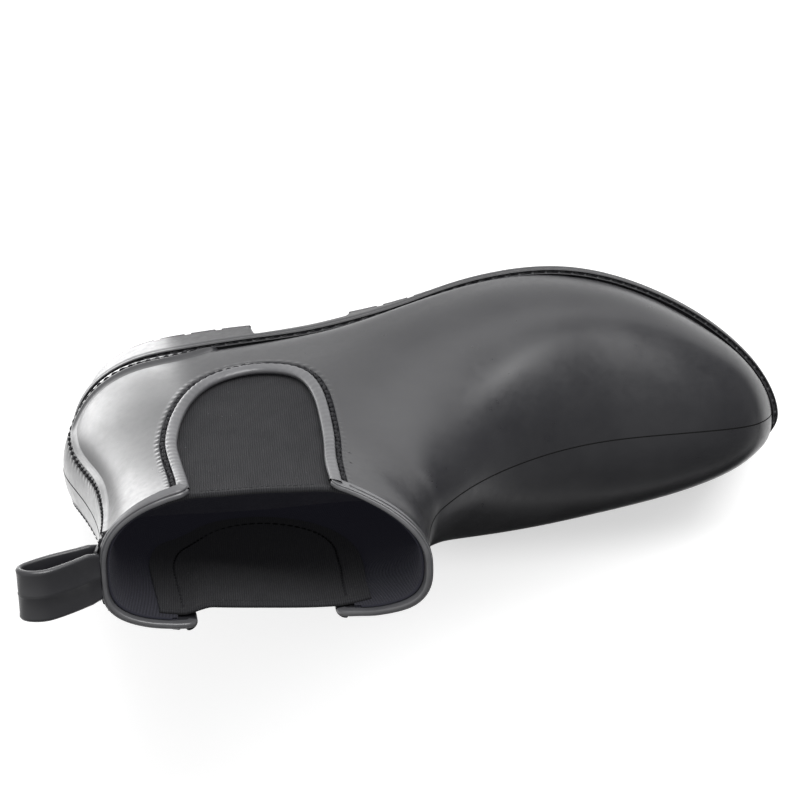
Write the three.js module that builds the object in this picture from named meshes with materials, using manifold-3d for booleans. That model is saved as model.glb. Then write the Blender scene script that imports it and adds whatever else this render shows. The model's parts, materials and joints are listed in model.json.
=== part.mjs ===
// A rubber ankle rain boot with elastic side panels, for the left foot.
//
// Millimetres. +X points to the toe, +Y to the wearer's left (the outer side), +Z up.
// The boot stands on its heel and forefoot treads. While it is being built, X = 0 is the
// back of the heel and Z = 0 is the ground; the group is moved at the end so that its
// origin is the middle of the footprint of its box.
//
// The upper is lofted through stations that fan round the foot: upright ones across the toes,
// leaning back over the instep, and level ones up the shaft. Shell, lining, side panels and
// footbed are all taken from that one surface at different depths, so that they nest.

import * as THREE from 'three';
import { mergeVertices } from 'three/addons/utils/BufferGeometryUtils.js';
import Module from 'manifold-3d';

const wasm = await Module();
wasm.setup();

// ---------------------------------------------------------------- driving dimensions

const GAP = 0.3; // clearance between pieces that touch on the real boot
const WALL = 2.4; // rubber of the upper
const LINING = 0.9; // knitted sock glued inside the rubber
const GORE = 1.8; // elastic side panel
const FOOTBED = 4.0; // removable foam insole
const OVERLAY = 1.0; // raised rubber of the heel counter and backstay
const THREAD = 0.9; // diameter of the sewn and the moulded threads

const WELT_UP = 2.2; // welt above the seat line
const WELT_DOWN = 2.2; // welt below the seat line
const WELT_BITE = 7.0; // how far the welt reaches in under the upper
const STITCH_INSET = 1.7; // welt stitching in from the welt's edge
const TREAD_DEPTH = 4.0; // height of the lugs
const HEEL_FRONT = 73; // where the heel block ends
const FORE_BACK = 112; // where the forefoot tread begins
const LUG_PITCH = 12.2;
const LUG_GAP = 3.0;

const STRAP_WIDTH = 19;
const STRAP_THICK = 2.0;

// ---------------------------------------------------------------- the last

// Stations of the upper from the tip of the toe to the rim. Each is a flat section between a
// top or front point (tx, tz) and a bottom or back point (bx, bz). wl and wr are the half
// widths to the outer and the inner side, s0 is the height of the widest place as a share of
// the section, nl and nh are the roundness below and above it (2 is an ellipse, more is
// squarer), y is the sideways offset and dn is extra squareness on the inner side.
const station = (tx, tz, bx, bz, wl, wr, s0, nl, nh, y = 0, dn = 0) => [
  tx, tz, bx, bz, wl, wr, s0, nl, nh, y, dn,
];
const STATIONS = [
  station(277, 26.8, 276, 24.2, 3.5, 3, 0.5, 2, 2, -9),
  station(275.6, 32, 271.4, 20.5, 12.5, 10, 0.45, 2.6, 2, -8.2),
  station(270, 41.5, 262, 17.5, 22.5, 16.5, 0.4, 3.4, 2, -6.8),
  station(258, 50.5, 250, 15.5, 31, 23.5, 0.34, 4.6, 2.1, -5),
  station(235, 58.5, 228, 13.5, 42.5, 33, 0.28, 6, 2.1, -2.5),
  station(207, 64.5, 200, 12.5, 51.5, 39.5, 0.24, 6.5, 2.1, -1),
  station(183, 75, 168, 13.5, 53.5, 42, 0.22, 6, 2.1),
  station(163, 88, 132, 18, 48.5, 39.5, 0.22, 4.8, 2.1),
  station(149, 101, 100, 23, 42, 36, 0.26, 5.2, 2.1),
  station(140, 112, 68, 27, 38.5, 34, 0.32, 7.5, 2.1),
  station(134, 121, 34, 28.5, 36.5, 32.5, 0.37, 6.6, 2.2),
  station(131, 129, 9, 31, 35, 32, 0.42, 3.6, 2.3),
  station(129.5, 136, 1, 45, 34, 30.5, 0.45, 2.4, 2.3),
  station(129, 142, 1, 60, 33, 28.5, 0.47, 2.2, 2.3, 0, 0.1),
  station(128.5, 147, 7, 80, 32, 26.5, 0.48, 2.3, 2.3, 0, 0.2),
  station(128, 151, 13, 103, 31.5, 25, 0.49, 2.4, 2.2, 0, 0.5),
  station(128, 155, 15.5, 128, 31, 24, 0.5, 2.5, 2.1, 0, 0.8),
  station(129, 162, 14, 154, 31.5, 23.5, 0.5, 2.6, 2.1, 0, 0.9),
];
const LAST = STATIONS.length - 1;

// Height of the rim along the boot: level at the back, lowest at the side panels.
const RIM = [[-30, 152], [14, 152], [32, 151.5], [47, 150], [71, 147.5], [95, 148.5],
  [106, 152.5], [116, 156.5], [129, 160], [160, 161]];

// Height of the line on which the upper sits on the sole.
const SEAT = [[-3, 28.6], [34, 28.2], [68, 26.8], [100, 23], [132, 17.8], [168, 13.5],
  [200, 12.4], [228, 13.6], [250, 16], [262, 18.4], [271, 20.8], [281, 23.8]];

// Outer edge of the welt in plan, heel to toe on the outer side, then back on the inner side.
const OUTLINE = [[1.5, 2], [4, 13], [12, 25], [27, 33.5], [45, 36.8], [68, 38.8], [92, 39.9],
  [112, 42.3], [132, 46.2], [155, 52], [182, 55], [206, 52.5], [228, 44.8], [248, 33.6],
  [265, 20.5], [276.5, 6], [280.5, -8], [277.5, -16.5], [269.5, -25], [256, -32], [236, -38.5],
  [212, -44], [185, -46], [155, -43.5], [125, -39.5], [95, -37], [68, -36], [45, -34.5],
  [25, -30.5], [10, -22], [2.5, -9]];

// Opening for the elastic panel, seen from the side, up one edge and down the other.
const PANEL_OPENING = [[47, 180], [46.8, 150], [45.2, 130], [43.2, 112], [43, 102], [44.2, 92],
  [46.5, 83], [50.5, 73], [57, 63.5], [66, 58.5], [75, 58], [84, 62], [90, 70], [93, 81],
  [94.2, 92], [94.8, 104], [94.8, 116], [94.4, 130], [95.2, 150], [95.8, 180]];

// Front edge of the heel counter: down the backstay and forward along the heel to the welt.
const COUNTER_EDGE = [[17.8, 175], [17.8, 135], [17.4, 120], [15.3, 102], [10.1, 82.6],
  [5.9, 68], [4.4, 57], [5, 50], [8.5, 44], [16, 41.6], [29, 41], [42, 40], [52, 36.5],
  [59, 31], [63.5, 25], [66, 18]];

// ---------------------------------------------------------------- curves and surfaces

// Catmull-Rom interpolation through rows of numbers, at row number t.
function spline(rows, t, closed = false) {
  const n = rows.length;
  const i = closed ? Math.floor(t) : Math.min(Math.max(Math.floor(t), 0), n - 2);
  const f = t - i;
  const row = (k) => {
    if (closed) return rows[((k % n) + n) % n];
    if (k < 0) return rows[0].map((v, j) => 2 * v - rows[1][j]);
    if (k >= n) return rows[n - 1].map((v, j) => 2 * v - rows[n - 2][j]);
    return rows[k];
  };
  const [a, b, c, d] = [row(i - 1), row(i), row(i + 1), row(i + 2)];
  return b.map((_, j) => 0.5 * (2 * b[j] + (c[j] - a[j]) * f
    + (2 * a[j] - 5 * b[j] + 4 * c[j] - d[j]) * f * f
    + (3 * b[j] - a[j] - 3 * c[j] + d[j]) * f * f * f));
}

// Height of a line given as [x, z] points, at x.
function heightAt(line, x) {
  let i = 0;
  while (i < line.length - 2 && line[i + 1][0] < x) i += 1;
  const [a, b] = [line[i], line[i + 1]];
  let lo = i;
  let hi = i + 1;
  if (x <= a[0]) return a[1];
  if (x >= b[0]) return b[1];
  for (let k = 0; k < 40; k += 1) {
    const mid = (lo + hi) / 2;
    if (spline(line, mid)[0] < x) lo = mid;
    else hi = mid;
  }
  return spline(line, (lo + hi) / 2)[1];
}
const seat = (x) => heightAt(SEAT, x);

// The stations moved inwards by a depth: their ends along the normals of the boot's profile,
// their half widths by the same amount.
function insetStations(depth) {
  const moved = STATIONS.map((s, i) => {
    const before = STATIONS[Math.max(i - 1, 0)];
    const after = STATIONS[Math.min(i + 1, LAST)];
    const out = [...s];
    [[0, 1], [2, 3]].forEach(([px, pz], side) => {
      const dx = after[px] - before[px];
      const dz = after[pz] - before[pz];
      const len = Math.hypot(dx, dz);
      const turn = side === 0 ? 1 : -1;
      out[px] = s[px] + (turn * dz * -1 * depth) / len;
      out[pz] = s[pz] + (turn * dx * depth) / len;
    });
    out[4] = Math.max(s[4] - depth, 0.8);
    out[5] = Math.max(s[5] - depth, 0.8);
    return out;
  });
  // At the very tip the two ends would pass each other, so they are kept a little apart.
  const tip = moved[0];
  const [sx, sz] = [STATIONS[0][0] - STATIONS[0][2], STATIONS[0][1] - STATIONS[0][3]];
  const span = Math.hypot(sx, sz);
  const kept = ((tip[0] - tip[2]) * sx + (tip[1] - tip[3]) * sz) / span;
  if (kept < 1.2) {
    const [mx, mz] = [(tip[0] + tip[2]) / 2, (tip[1] + tip[3]) / 2];
    tip[0] = mx + (0.6 * sx) / span;
    tip[1] = mz + (0.6 * sz) / span;
    tip[2] = mx - (0.6 * sx) / span;
    tip[3] = mz - (0.6 * sz) / span;
  }
  return moved;
}

// A point on a set of stations. phi runs round the section: 0 at the bottom or back point,
// a half turn at the top or front point, and the outer side in between.
function surfacePoint(stations, u, phi) {
  const [tx, tz, bx, bz, wl, wr, s0, nl, nh, y0, dn] = spline(stations, u);
  const c = Math.cos(phi);
  const s = Math.sin(phi);
  const n = (c > 0 ? nl : nh) + (s < 0 ? dn : 0);
  const along = Math.abs(c) ** (2 / n);
  const across = Math.abs(s) ** (2 / n);
  const share = c > 0 ? s0 * (1 - along) : s0 + (1 - s0) * along;
  const width = s >= 0 ? wl : wr;
  return [bx + (tx - bx) * share, Math.sign(s) * width * across + y0, bz + (tz - bz) * share];
}

// Station number at which the surface meets the rim line, lowered by drop.
function rimStation(stations, phi, drop) {
  let lo = LAST - 2.5;
  let hi = LAST + 0.6;
  for (let k = 0; k < 30; k += 1) {
    const mid = (lo + hi) / 2;
    const [x, , z] = surfacePoint(stations, mid, phi);
    if (z < heightAt(RIM, x) - drop) lo = mid;
    else hi = mid;
  }
  return (lo + hi) / 2;
}

// ---------------------------------------------------------------- meshes

function geometryFrom(points, faces) {
  const g = new THREE.BufferGeometry();
  g.setAttribute('position', new THREE.Float32BufferAttribute(points.flat(), 3));
  g.setIndex(faces.flat());
  return g;
}

// A closed loft through rings of points that all have the same number of points.
// The rings run clockwise seen along the direction in which they follow each other.
function loft(rings) {
  const n = rings[0].length;
  const points = rings.flat();
  const faces = [];
  for (let r = 0; r < rings.length - 1; r += 1) {
    for (let k = 0; k < n; k += 1) {
      const a = r * n + k;
      const b = r * n + ((k + 1) % n);
      faces.push([a, b, b + n], [a, b + n, a + n]);
    }
  }
  [0, rings.length - 1].forEach((r) => {
    const centre = points.length;
    points.push([0, 1, 2].map((j) => rings[r].reduce((sum, p) => sum + p[j], 0) / n));
    for (let k = 0; k < n; k += 1) {
      const a = r * n + k;
      const b = r * n + ((k + 1) % n);
      faces.push(r === 0 ? [centre, b, a] : [centre, a, b]);
    }
  });
  return geometryFrom(points, faces);
}

// A loft whose last ring joins its first, such as a thread that runs all the way round.
function loopLoft(rings) {
  const n = rings[0].length;
  const faces = [];
  for (let r = 0; r < rings.length; r += 1) {
    const next = (r + 1) % rings.length;
    for (let k = 0; k < n; k += 1) {
      const l = (k + 1) % n;
      faces.push([r * n + k, r * n + l, next * n + l], [r * n + k, next * n + l, next * n + k]);
    }
  }
  return geometryFrom(rings.flat(), faces);
}

// The boolean library's solid for a geometry. A geometry built inside out is turned round.
function solidOf(geometry) {
  const g = geometry.clone();
  g.deleteAttribute('normal');
  g.deleteAttribute('uv');
  const merged = mergeVertices(g, 1e-4);
  const mesh = (flip) => {
    const triVerts = Uint32Array.from(merged.index.array);
    for (let i = 0; flip && i < triVerts.length; i += 3) {
      [triVerts[i], triVerts[i + 1]] = [triVerts[i + 1], triVerts[i]];
    }
    return new wasm.Mesh({
      numProp: 3,
      vertProperties: Float32Array.from(merged.attributes.position.array),
      triVerts,
    });
  };
  const solid = new wasm.Manifold(mesh(false));
  return solid.volume() > 0 ? solid : new wasm.Manifold(mesh(true));
}

function geometryOf(solid) {
  const mesh = solid.getMesh();
  const g = new THREE.BufferGeometry();
  g.setAttribute('position', new THREE.Float32BufferAttribute(mesh.vertProperties, 3));
  g.setIndex(Array.from(mesh.triVerts));
  return g;
}

// A prism over an outline of [x, z] points, reaching sideways from y0 to y1.
function sidePrism(outline, y0, y1) {
  const shape = new THREE.Shape(outline.map(([x, z]) => new THREE.Vector2(x, z)));
  const g = new THREE.ExtrudeGeometry(shape, { depth: y1 - y0, bevelEnabled: false });
  g.rotateX(Math.PI / 2);
  g.translate(0, y1, 0);
  return solidOf(g);
}

// ---------------------------------------------------------------- solids taken from the last

const AROUND = 32;
const PHI = Array.from({ length: AROUND }, (_, k) => (2 * Math.PI * k) / AROUND);
const LOWER = [0, 0.5, 1, 1.5, 2, 2.7, 3.4, 4.2, 5, 5.8, 6.6, 7.4, 8.2, 9, 9.6, 10.2, 10.7, 11.2,
  11.7, 12.3, 13, 13.7, 14.4];

// The solid inside the last's surface at a depth, from station number first up to the rim.
// drop lowers its top below the rim; a negative drop raises a straight collar above it.
function lastSolid(depth, drop = 0, first = 0) {
  const stations = insetStations(depth);
  const levels = LOWER.filter((u) => u >= first);
  const start = levels[levels.length - 1];
  const top = PHI.map((phi) => rimStation(stations, phi, Math.max(drop, 0)));
  const rings = levels.map((u) => PHI.map((phi) => surfacePoint(stations, u, phi)));
  [0.34, 0.67, 1].forEach((f) => {
    rings.push(PHI.map((phi, k) => surfacePoint(stations, start + (top[k] - start) * f, phi)));
  });
  if (drop < 0) {
    const last = rings[rings.length - 1];
    rings.push(last.map(([x, y, z]) => [x, y, z - drop]));
  }
  return solidOf(loft(rings));
}

// An outline of [x, z] points moved outwards by a distance; it runs clockwise seen from +Y's
// tip when it goes up the back edge and down the front one.
function widen(outline, distance) {
  return outline.map((p, i) => {
    const a = outline[Math.max(i - 1, 0)];
    const b = outline[Math.min(i + 1, outline.length - 1)];
    const len = Math.hypot(b[0] - a[0], b[1] - a[1]);
    const [dx, dz] = [(b[0] - a[0]) / len, (b[1] - a[1]) / len];
    return [p[0] + dz * distance, p[1] - dx * distance];
  });
}

// The side panel's opening, rounded and widened.
function panelOutline(extra) {
  const n = (PANEL_OPENING.length - 1) * 2;
  const fine = Array.from({ length: n + 1 }, (_, k) => spline(PANEL_OPENING, k / 2));
  return widen(fine, extra);
}

// ---------------------------------------------------------------- plates of the sole

const PLAN = Array.from({ length: 31 * 4 }, (_, k) => spline(OUTLINE, k / 4, true));

// The plan outline moved inwards, then read as a left and a right y at any x.
function planAt(inset) {
  const n = PLAN.length;
  const moved = PLAN.map((p, i) => {
    const a = PLAN[(i + n - 1) % n];
    const b = PLAN[(i + 1) % n];
    const len = Math.hypot(b[0] - a[0], b[1] - a[1]);
    return [p[0] + ((b[1] - a[1]) / len) * inset, p[1] - ((b[0] - a[0]) / len) * inset];
  });
  const xs = moved.map((p) => p[0]);
  const range = [Math.min(...xs), Math.max(...xs)];
  const sides = (x) => {
    const hits = [];
    moved.forEach((a, i) => {
      const b = moved[(i + 1) % n];
      if ((a[0] - x) * (b[0] - x) <= 0 && a[0] !== b[0]) {
        hits.push(a[1] + ((b[1] - a[1]) * (x - a[0])) / (b[0] - a[0]));
      }
    });
    return [Math.max(...hits), Math.min(...hits)];
  };
  return { range, sides };
}

// A plate under the plan outline between two heights given as functions of x. Its stations
// crowd together at both ends, where the outline turns.
function plate(inset, bottom, top, from = -Infinity, to = Infinity, count = 44) {
  const { range, sides } = planAt(inset);
  const x0 = Math.max(range[0] + 0.02, from);
  const x1 = Math.min(range[1] - 0.02, to);
  const rings = [];
  for (let k = 0; k <= count; k += 1) {
    const x = x0 + ((x1 - x0) * (1 - Math.cos((Math.PI * k) / count))) / 2;
    const [left, right] = sides(x);
    rings.push([
      [x, left, bottom(x)], [x, left, top(x)],
      [x, (left * 2 + right) / 3, top(x)], [x, (left + right * 2) / 3, top(x)],
      [x, right, top(x)], [x, right, bottom(x)],
    ]);
  }
  return solidOf(loft(rings));
}

// Underside of the sole: on the ground at heel and ball, lifted under the toes.
function ground(x) {
  const lift = Math.max(0, x - 222) / 57;
  return 8.5 * lift * lift;
}

// Underside of the waist between heel and forefoot, and of the plate above the lugs.
function plateUnderside(x) {
  if (x <= HEEL_FRONT) return ground(x) + TREAD_DEPTH;
  if (x >= FORE_BACK) return ground(x) + TREAD_DEPTH;
  const t = (x - HEEL_FRONT) / (FORE_BACK - HEEL_FRONT);
  const rise = 12.5 * (1 - t) + 5.5 * t;
  return Math.max(TREAD_DEPTH, rise);
}

// ---------------------------------------------------------------- threads

// A round thread along a path of points, with side points spread round each.
function threadRings(path, radius, closed, sidesCount = 6) {
  const n = path.length;
  return path.map((p, i) => {
    const a = path[closed ? (i + n - 1) % n : Math.max(i - 1, 0)];
    const b = path[closed ? (i + 1) % n : Math.min(i + 1, n - 1)];
    const dir = new THREE.Vector3(b[0] - a[0], b[1] - a[1], b[2] - a[2]).normalize();
    const side = new THREE.Vector3(0, 1, 0);
    if (Math.abs(dir.y) > 0.9) side.set(0, 0, 1);
    const u = side.clone().cross(dir).normalize();
    const v = dir.clone().cross(u).normalize();
    return Array.from({ length: sidesCount }, (_, k) => {
      const t = (2 * Math.PI * k) / sidesCount;
      const q = u.clone().multiplyScalar(radius * Math.cos(t));
      q.addScaledVector(v, radius * Math.sin(t));
      return [p[0] + q.x, p[1] + q.y, p[2] + q.z];
    });
  });
}

// The point of a set of stations whose side view is (x, z), on the outer (side 1) or the inner
// side (-1): first the station whose section passes through it, then how wide that section is.
function sidePoint(stations, x, z, side) {
  const behind = (u) => {
    const [tx, tz, bx, bz] = spline(stations, u);
    return (tx - bx) * (z - bz) - (tz - bz) * (x - bx);
  };
  let lo = 5;
  let hi = LAST + 0.6;
  for (let k = 0; k < 40; k += 1) {
    const mid = (lo + hi) / 2;
    if (behind(mid) > 0) lo = mid;
    else hi = mid;
  }
  const [tx, tz, bx, bz, wl, wr, s0, nl, nh, y0, dn] = spline(stations, (lo + hi) / 2);
  const share = ((x - bx) * (tx - bx) + (z - bz) * (tz - bz)) / ((tx - bx) ** 2 + (tz - bz) ** 2);
  const along = share < s0 ? 1 - share / s0 : (share - s0) / (1 - s0);
  const n = (share < s0 ? nl : nh) + (side < 0 ? dn : 0);
  const across = Math.max(0, 1 - Math.min(1, along) ** n) ** (1 / n);
  return [x, side * (side > 0 ? wl : wr) * across + y0, z];
}

// A path on the outside of the boot that follows a line of [x, z] points on one side.
function sidePath(depth, line, side) {
  const stations = insetStations(depth);
  return line.map(([x, z]) => sidePoint(stations, x, z, side));
}

// ---------------------------------------------------------------- materials

const look = (color, roughness) => new THREE.MeshStandardMaterial({
  color,
  roughness,
  metalness: 0,
});
const RUBBER = () => look(0x17171a, 0.32);
const SOLE = () => look(0x1b1b1e, 0.55);
const ELASTIC = () => look(0x26262b, 0.9);
const KNIT = () => look(0x101014, 0.95);
const SEWING = () => look(0x0b0b0d, 0.6);
const FOAM = () => look(0x1d1d22, 0.9);

const boot = new THREE.Group();
boot.name = 'rain_boot';
function add(name, geometry, material) {
  const mesh = new THREE.Mesh(geometry, material);
  mesh.name = name;
  boot.add(mesh);
  return mesh;
}

// ---------------------------------------------------------------- upper

const LINING_AT = WALL + GAP;
const LINED_AT = LINING_AT + LINING;
const BED_AT = LINED_AT + GAP;
const PANEL_MARGIN = 9.2; // elastic hidden behind the rubber all round the opening
const PANEL_TOP = 145.5; // height of the elastic's upper edge

function buildUpper() {
  const opening = panelOutline(0);
  const outside = lastSolid(0);
  const inside = lastSolid(WALL, -9);
  const shell = outside.subtract(inside).subtract(sidePrism(opening, -90, 90));
  add('upper_shell', geometryOf(shell), RUBBER());
}

function buildLining() {
  const opening = panelOutline(PANEL_MARGIN + GAP);
  const sock = lastSolid(LINING_AT, 4.5).subtract(lastSolid(LINED_AT, -9));
  add('lining', geometryOf(sock.subtract(sidePrism(opening, -90, 90))), KNIT());
}

function buildPanels() {
  const below = [[0, 0], [0, PANEL_TOP], [200, PANEL_TOP], [200, 0]];
  const layer = lastSolid(LINING_AT, 0, 7.4).subtract(lastSolid(LINING_AT + GORE, -9, 6.6));
  const cut = layer.intersect(sidePrism(panelOutline(PANEL_MARGIN), -90, 90));
  add('left_gore', geometryOf(cut.intersect(sidePrism(below, 0, 90))), ELASTIC());
  add('right_gore', geometryOf(cut.intersect(sidePrism(below, -90, 0))), ELASTIC());
}

function buildPanelStitching() {
  const rows = panelOutline(4.2).filter(([, z]) => z < 147);
  [['left', 1], ['right', -1]].forEach(([name, side]) => {
    const path = sidePath(-(GAP + THREAD / 2), rows, side);
    const thread = loft(threadRings(path, THREAD / 2, false));
    add(`${name}_gore_stitching`, thread, SEWING());
  });
}

// ---------------------------------------------------------------- heel counter

const counterLine = Array.from({ length: (COUNTER_EDGE.length - 1) * 2 + 1 }, (_, k) =>
  spline(COUNTER_EDGE, k / 2));

function buildCounter() {
  const region = sidePrism([[-30, 175], ...counterLine, [66, 0], [-30, 0]], -90, 90);
  const floor = plate(-12, () => -5, (x) => seat(x) + WELT_UP + GAP + THREAD + GAP);
  const layer = lastSolid(-(GAP + OVERLAY), 2.5, 8.2).subtract(lastSolid(-GAP, -9, 7.4));
  add('heel_counter', geometryOf(layer.intersect(region).subtract(floor)), RUBBER());
}

function buildCounterStitching() {
  const line = widen(counterLine, 2).filter(([x, z]) => z < 147 && z > seat(x) + WELT_UP + 2);
  [['left', 1], ['right', -1]].forEach(([name, side]) => {
    const depth = -(GAP + OVERLAY + GAP + THREAD / 2);
    const path = sidePath(depth, line, side);
    add(`${name}_counter_stitching`, loft(threadRings(path, THREAD / 2, false)), SEWING());
  });
}

// ---------------------------------------------------------------- sole

function buildWelt() {
  const strip = plate(0, (x) => seat(x) - WELT_DOWN, (x) => seat(x) + WELT_UP, -99, 999, 60);
  const core = plate(WELT_BITE, (x) => seat(x) - 9, (x) => seat(x) + 9);
  const welt = strip.subtract(core).subtract(lastSolid(-GAP));
  add('welt', geometryOf(welt), SOLE());
}

function buildWeltStitching() {
  const path = [];
  const n = PLAN.length;
  for (let i = 0; i < n; i += 1) {
    const [a, p, b] = [PLAN[(i + n - 1) % n], PLAN[i], PLAN[(i + 1) % n]];
    const len = Math.hypot(b[0] - a[0], b[1] - a[1]);
    const x = p[0] + ((b[1] - a[1]) / len) * STITCH_INSET;
    const y = p[1] - ((b[0] - a[0]) / len) * STITCH_INSET;
    path.push([x, y, seat(x) + WELT_UP + GAP + THREAD / 2]);
  }
  add('welt_stitching', loopLoft(threadRings(path, THREAD / 2, true, 5)), SEWING());
}

function buildOutsole() {
  const flange = (x) => seat(x) - WELT_DOWN - GAP;
  let sole = plate(0.8, plateUnderside, flange);
  sole = sole.add(plate(1.2, ground, (x) => plateUnderside(x) + 1, -99, HEEL_FRONT, 24));
  sole = sole.add(plate(1.2, ground, (x) => plateUnderside(x) + 1, FORE_BACK, 999, 30));
  const heelWall = plate(1.0, (x) => plateUnderside(x) - 0.5, flange, -99, HEEL_FRONT, 24);
  sole = sole.add(heelWall);
  sole = sole.add(plate(WELT_BITE + GAP, (x) => flange(x) - 1, (x) => seat(x) - GAP));
  sole = sole.subtract(lastSolid(-GAP));
  const groove = (x, width, y0, y1) => sidePrism([
    [x - width / 2, -5], [x - width / 2, ground(x) + TREAD_DEPTH],
    [x + width / 2, ground(x) + TREAD_DEPTH], [x + width / 2, -5],
  ], y0, y1);
  for (let x = 24; x < HEEL_FRONT - 6; x += LUG_PITCH) {
    sole = sole.subtract(groove(x, LUG_GAP, -90, 90));
  }
  for (let x = FORE_BACK + LUG_PITCH; x < 268; x += LUG_PITCH) {
    sole = sole.subtract(groove(x, LUG_GAP, -90, 90));
  }
  add('outsole', geometryOf(sole), SOLE());
}

function buildFootbed() {
  const slab = plate(-6, () => -5, (x) => seat(x) + BED_AT + FOOTBED);
  add('footbed', geometryOf(lastSolid(BED_AT, 20).intersect(slab)), FOAM());
}

// ---------------------------------------------------------------- pull loop

// Middle line of the strap, seen from the side, from its lower root round to its upper one.
const STRAP_LINE = [[9.2, 146.6], [4, 147.2], [-2, 149.2], [-7.6, 152.6], [-11.4, 157.6],
  [-10.6, 161.6], [-6.6, 163.6], [-1, 162], [4, 157.6], [7.6, 153], [9.8, 149.6]];
const HINGE = [9.4, 148];
const KNUCKLE = 2.5;
const PAD_TOP = 147.4;

function buildPullLoop() {
  const n = (STRAP_LINE.length - 1) * 4;
  const mid = Array.from({ length: n + 1 }, (_, k) => spline(STRAP_LINE, k / 4));
  const outer = widen(mid, -STRAP_THICK / 2);
  const inner = widen(mid, STRAP_THICK / 2);
  const ribbon = [...outer, ...inner.reverse()];
  const half = STRAP_WIDTH / 2;
  const round = Array.from({ length: 20 }, (_, k) => [
    HINGE[0] + KNUCKLE * Math.cos((2 * Math.PI * k) / 20),
    HINGE[1] + KNUCKLE * Math.sin((2 * Math.PI * k) / 20),
  ]);
  const strap = sidePrism(ribbon, -half, half).add(sidePrism(round, -half, half));
  add('pull_loop', geometryOf(strap), RUBBER());
}

// The pad that the loop grows out of, hollowed round the loop's root.
function buildPullBase() {
  const half = STRAP_WIDTH / 2 + 1;
  const layer = lastSolid(-(2 * GAP + OVERLAY + 1.8), 1.5, 8.2);
  const body = layer.subtract(lastSolid(-(2 * GAP + OVERLAY), -9, 7.4));
  const block = sidePrism([[4, 139], [4, PAD_TOP], [24, PAD_TOP], [24, 139]], -half, half);
  const round = Array.from({ length: 24 }, (_, k) => [
    HINGE[0] + (KNUCKLE + GAP) * Math.cos((2 * Math.PI * k) / 24),
    HINGE[1] + (KNUCKLE + GAP) * Math.sin((2 * Math.PI * k) / 24),
  ]);
  const pad = body.intersect(block).subtract(sidePrism(round, -90, 90));
  add('pull_loop_base', geometryOf(pad), RUBBER());
}

buildUpper();
buildLining();
buildPanels();
buildPanelStitching();
buildCounter();
buildCounterStitching();
buildWelt();
buildWeltStitching();
buildOutsole();
buildFootbed();
buildPullLoop();
buildPullBase();

// ---------------------------------------------------------------- placing

const box = new THREE.Box3().setFromObject(boot);
boot.position.set(-(box.min.x + box.max.x) / 2, -(box.min.y + box.max.y) / 2, -box.min.z);
boot.updateMatrixWorld(true);

export default boot;
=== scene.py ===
"""The looks of a rubber ankle rain boot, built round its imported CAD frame.

Shapes are worked out in millimetres in the boot's design frame, where X = 0 is the back of the
heel, +X points to the toe, +Y to the outer side and Z = 0 is the ground. `place` turns them
into metres in the row frame. Every shape on the upper comes from one surface, the last: flat
sections that fan round the foot, moved in or out by a depth.
"""

import functools
import json
import math

import bpy
import numpy as np
from mathutils import Matrix, Vector


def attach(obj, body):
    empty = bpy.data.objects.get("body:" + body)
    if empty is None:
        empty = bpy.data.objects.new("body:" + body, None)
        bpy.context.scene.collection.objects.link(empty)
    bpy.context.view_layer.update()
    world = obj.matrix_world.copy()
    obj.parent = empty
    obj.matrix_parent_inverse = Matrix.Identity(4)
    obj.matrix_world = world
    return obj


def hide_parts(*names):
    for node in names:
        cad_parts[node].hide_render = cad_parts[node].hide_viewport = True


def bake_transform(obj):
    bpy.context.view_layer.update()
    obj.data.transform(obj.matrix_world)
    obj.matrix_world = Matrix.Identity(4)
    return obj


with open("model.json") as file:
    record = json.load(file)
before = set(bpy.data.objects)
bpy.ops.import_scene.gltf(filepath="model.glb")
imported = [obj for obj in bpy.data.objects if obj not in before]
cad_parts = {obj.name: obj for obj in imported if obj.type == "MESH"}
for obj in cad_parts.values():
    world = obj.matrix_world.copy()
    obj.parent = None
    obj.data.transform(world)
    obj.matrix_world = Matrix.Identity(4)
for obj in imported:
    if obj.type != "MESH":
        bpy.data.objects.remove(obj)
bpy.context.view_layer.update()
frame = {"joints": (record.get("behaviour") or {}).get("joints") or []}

# ---- driving dimensions, in mm

WALL = 2.4  # rubber of the upper
LINING_AT = 2.75  # depth of the sock's outer face
LINED_AT = 3.55  # depth of its inner face
FOOTBED_AT = 4.1  # depth of the insole's underside
GORE_AT = 3.7  # depth of the elastic's outer face
GORE = 1.0  # its thickness
GORE_MARGIN = 12.6  # elastic behind the rubber, out from the opening's edge
GORE_TOP = 145.5
COLLAR = 8.8  # width of the worked rubber round each opening
STITCH_AT = 4.9  # the stitches' distance from the opening's edge
STITCH_PITCH = 3.0
STITCH_TOP = 148.2  # height at which they end
OVERLAY = 1.1  # raised rubber of the heel counter
COUNTER_PITCH = 3.5
COUNTER_TOP = 149.4  # height at which its edge ends
CORNER = 4.0  # radius of the rim's corners beside the openings
REAR_CORNER = 46.8  # x at which the rear lobe's rim ends
FRONT_CORNER = 95.2  # x at which the front lobe's rim starts
OPENING_MIDDLE = 71  # x

PARTING_ASIDE = 3.2  # the front parting line's place on the vamp, to the outer side

WELT_DOWN = 2.2  # its underside, below the seat line
GROOVE_AT = 1.12  # the welt's groove, in from its edge
WELT_PITCH = 5.3
TREAD_DEPTH = 3.2
WAIST = (12.5, 5.5)  # height of the waist's underside, at the heel and at the forefoot
HEEL_FRONT = 73
FORE_BACK = 112
LUG_PITCH = 12.2
LUG_GAP = 2.6
FIRST_GROOVE = 24

STRAP_WIDTH = 19.0
STRAP_THICK = 2.0
HINGE = (9.4, 0.0, 148.0)

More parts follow.
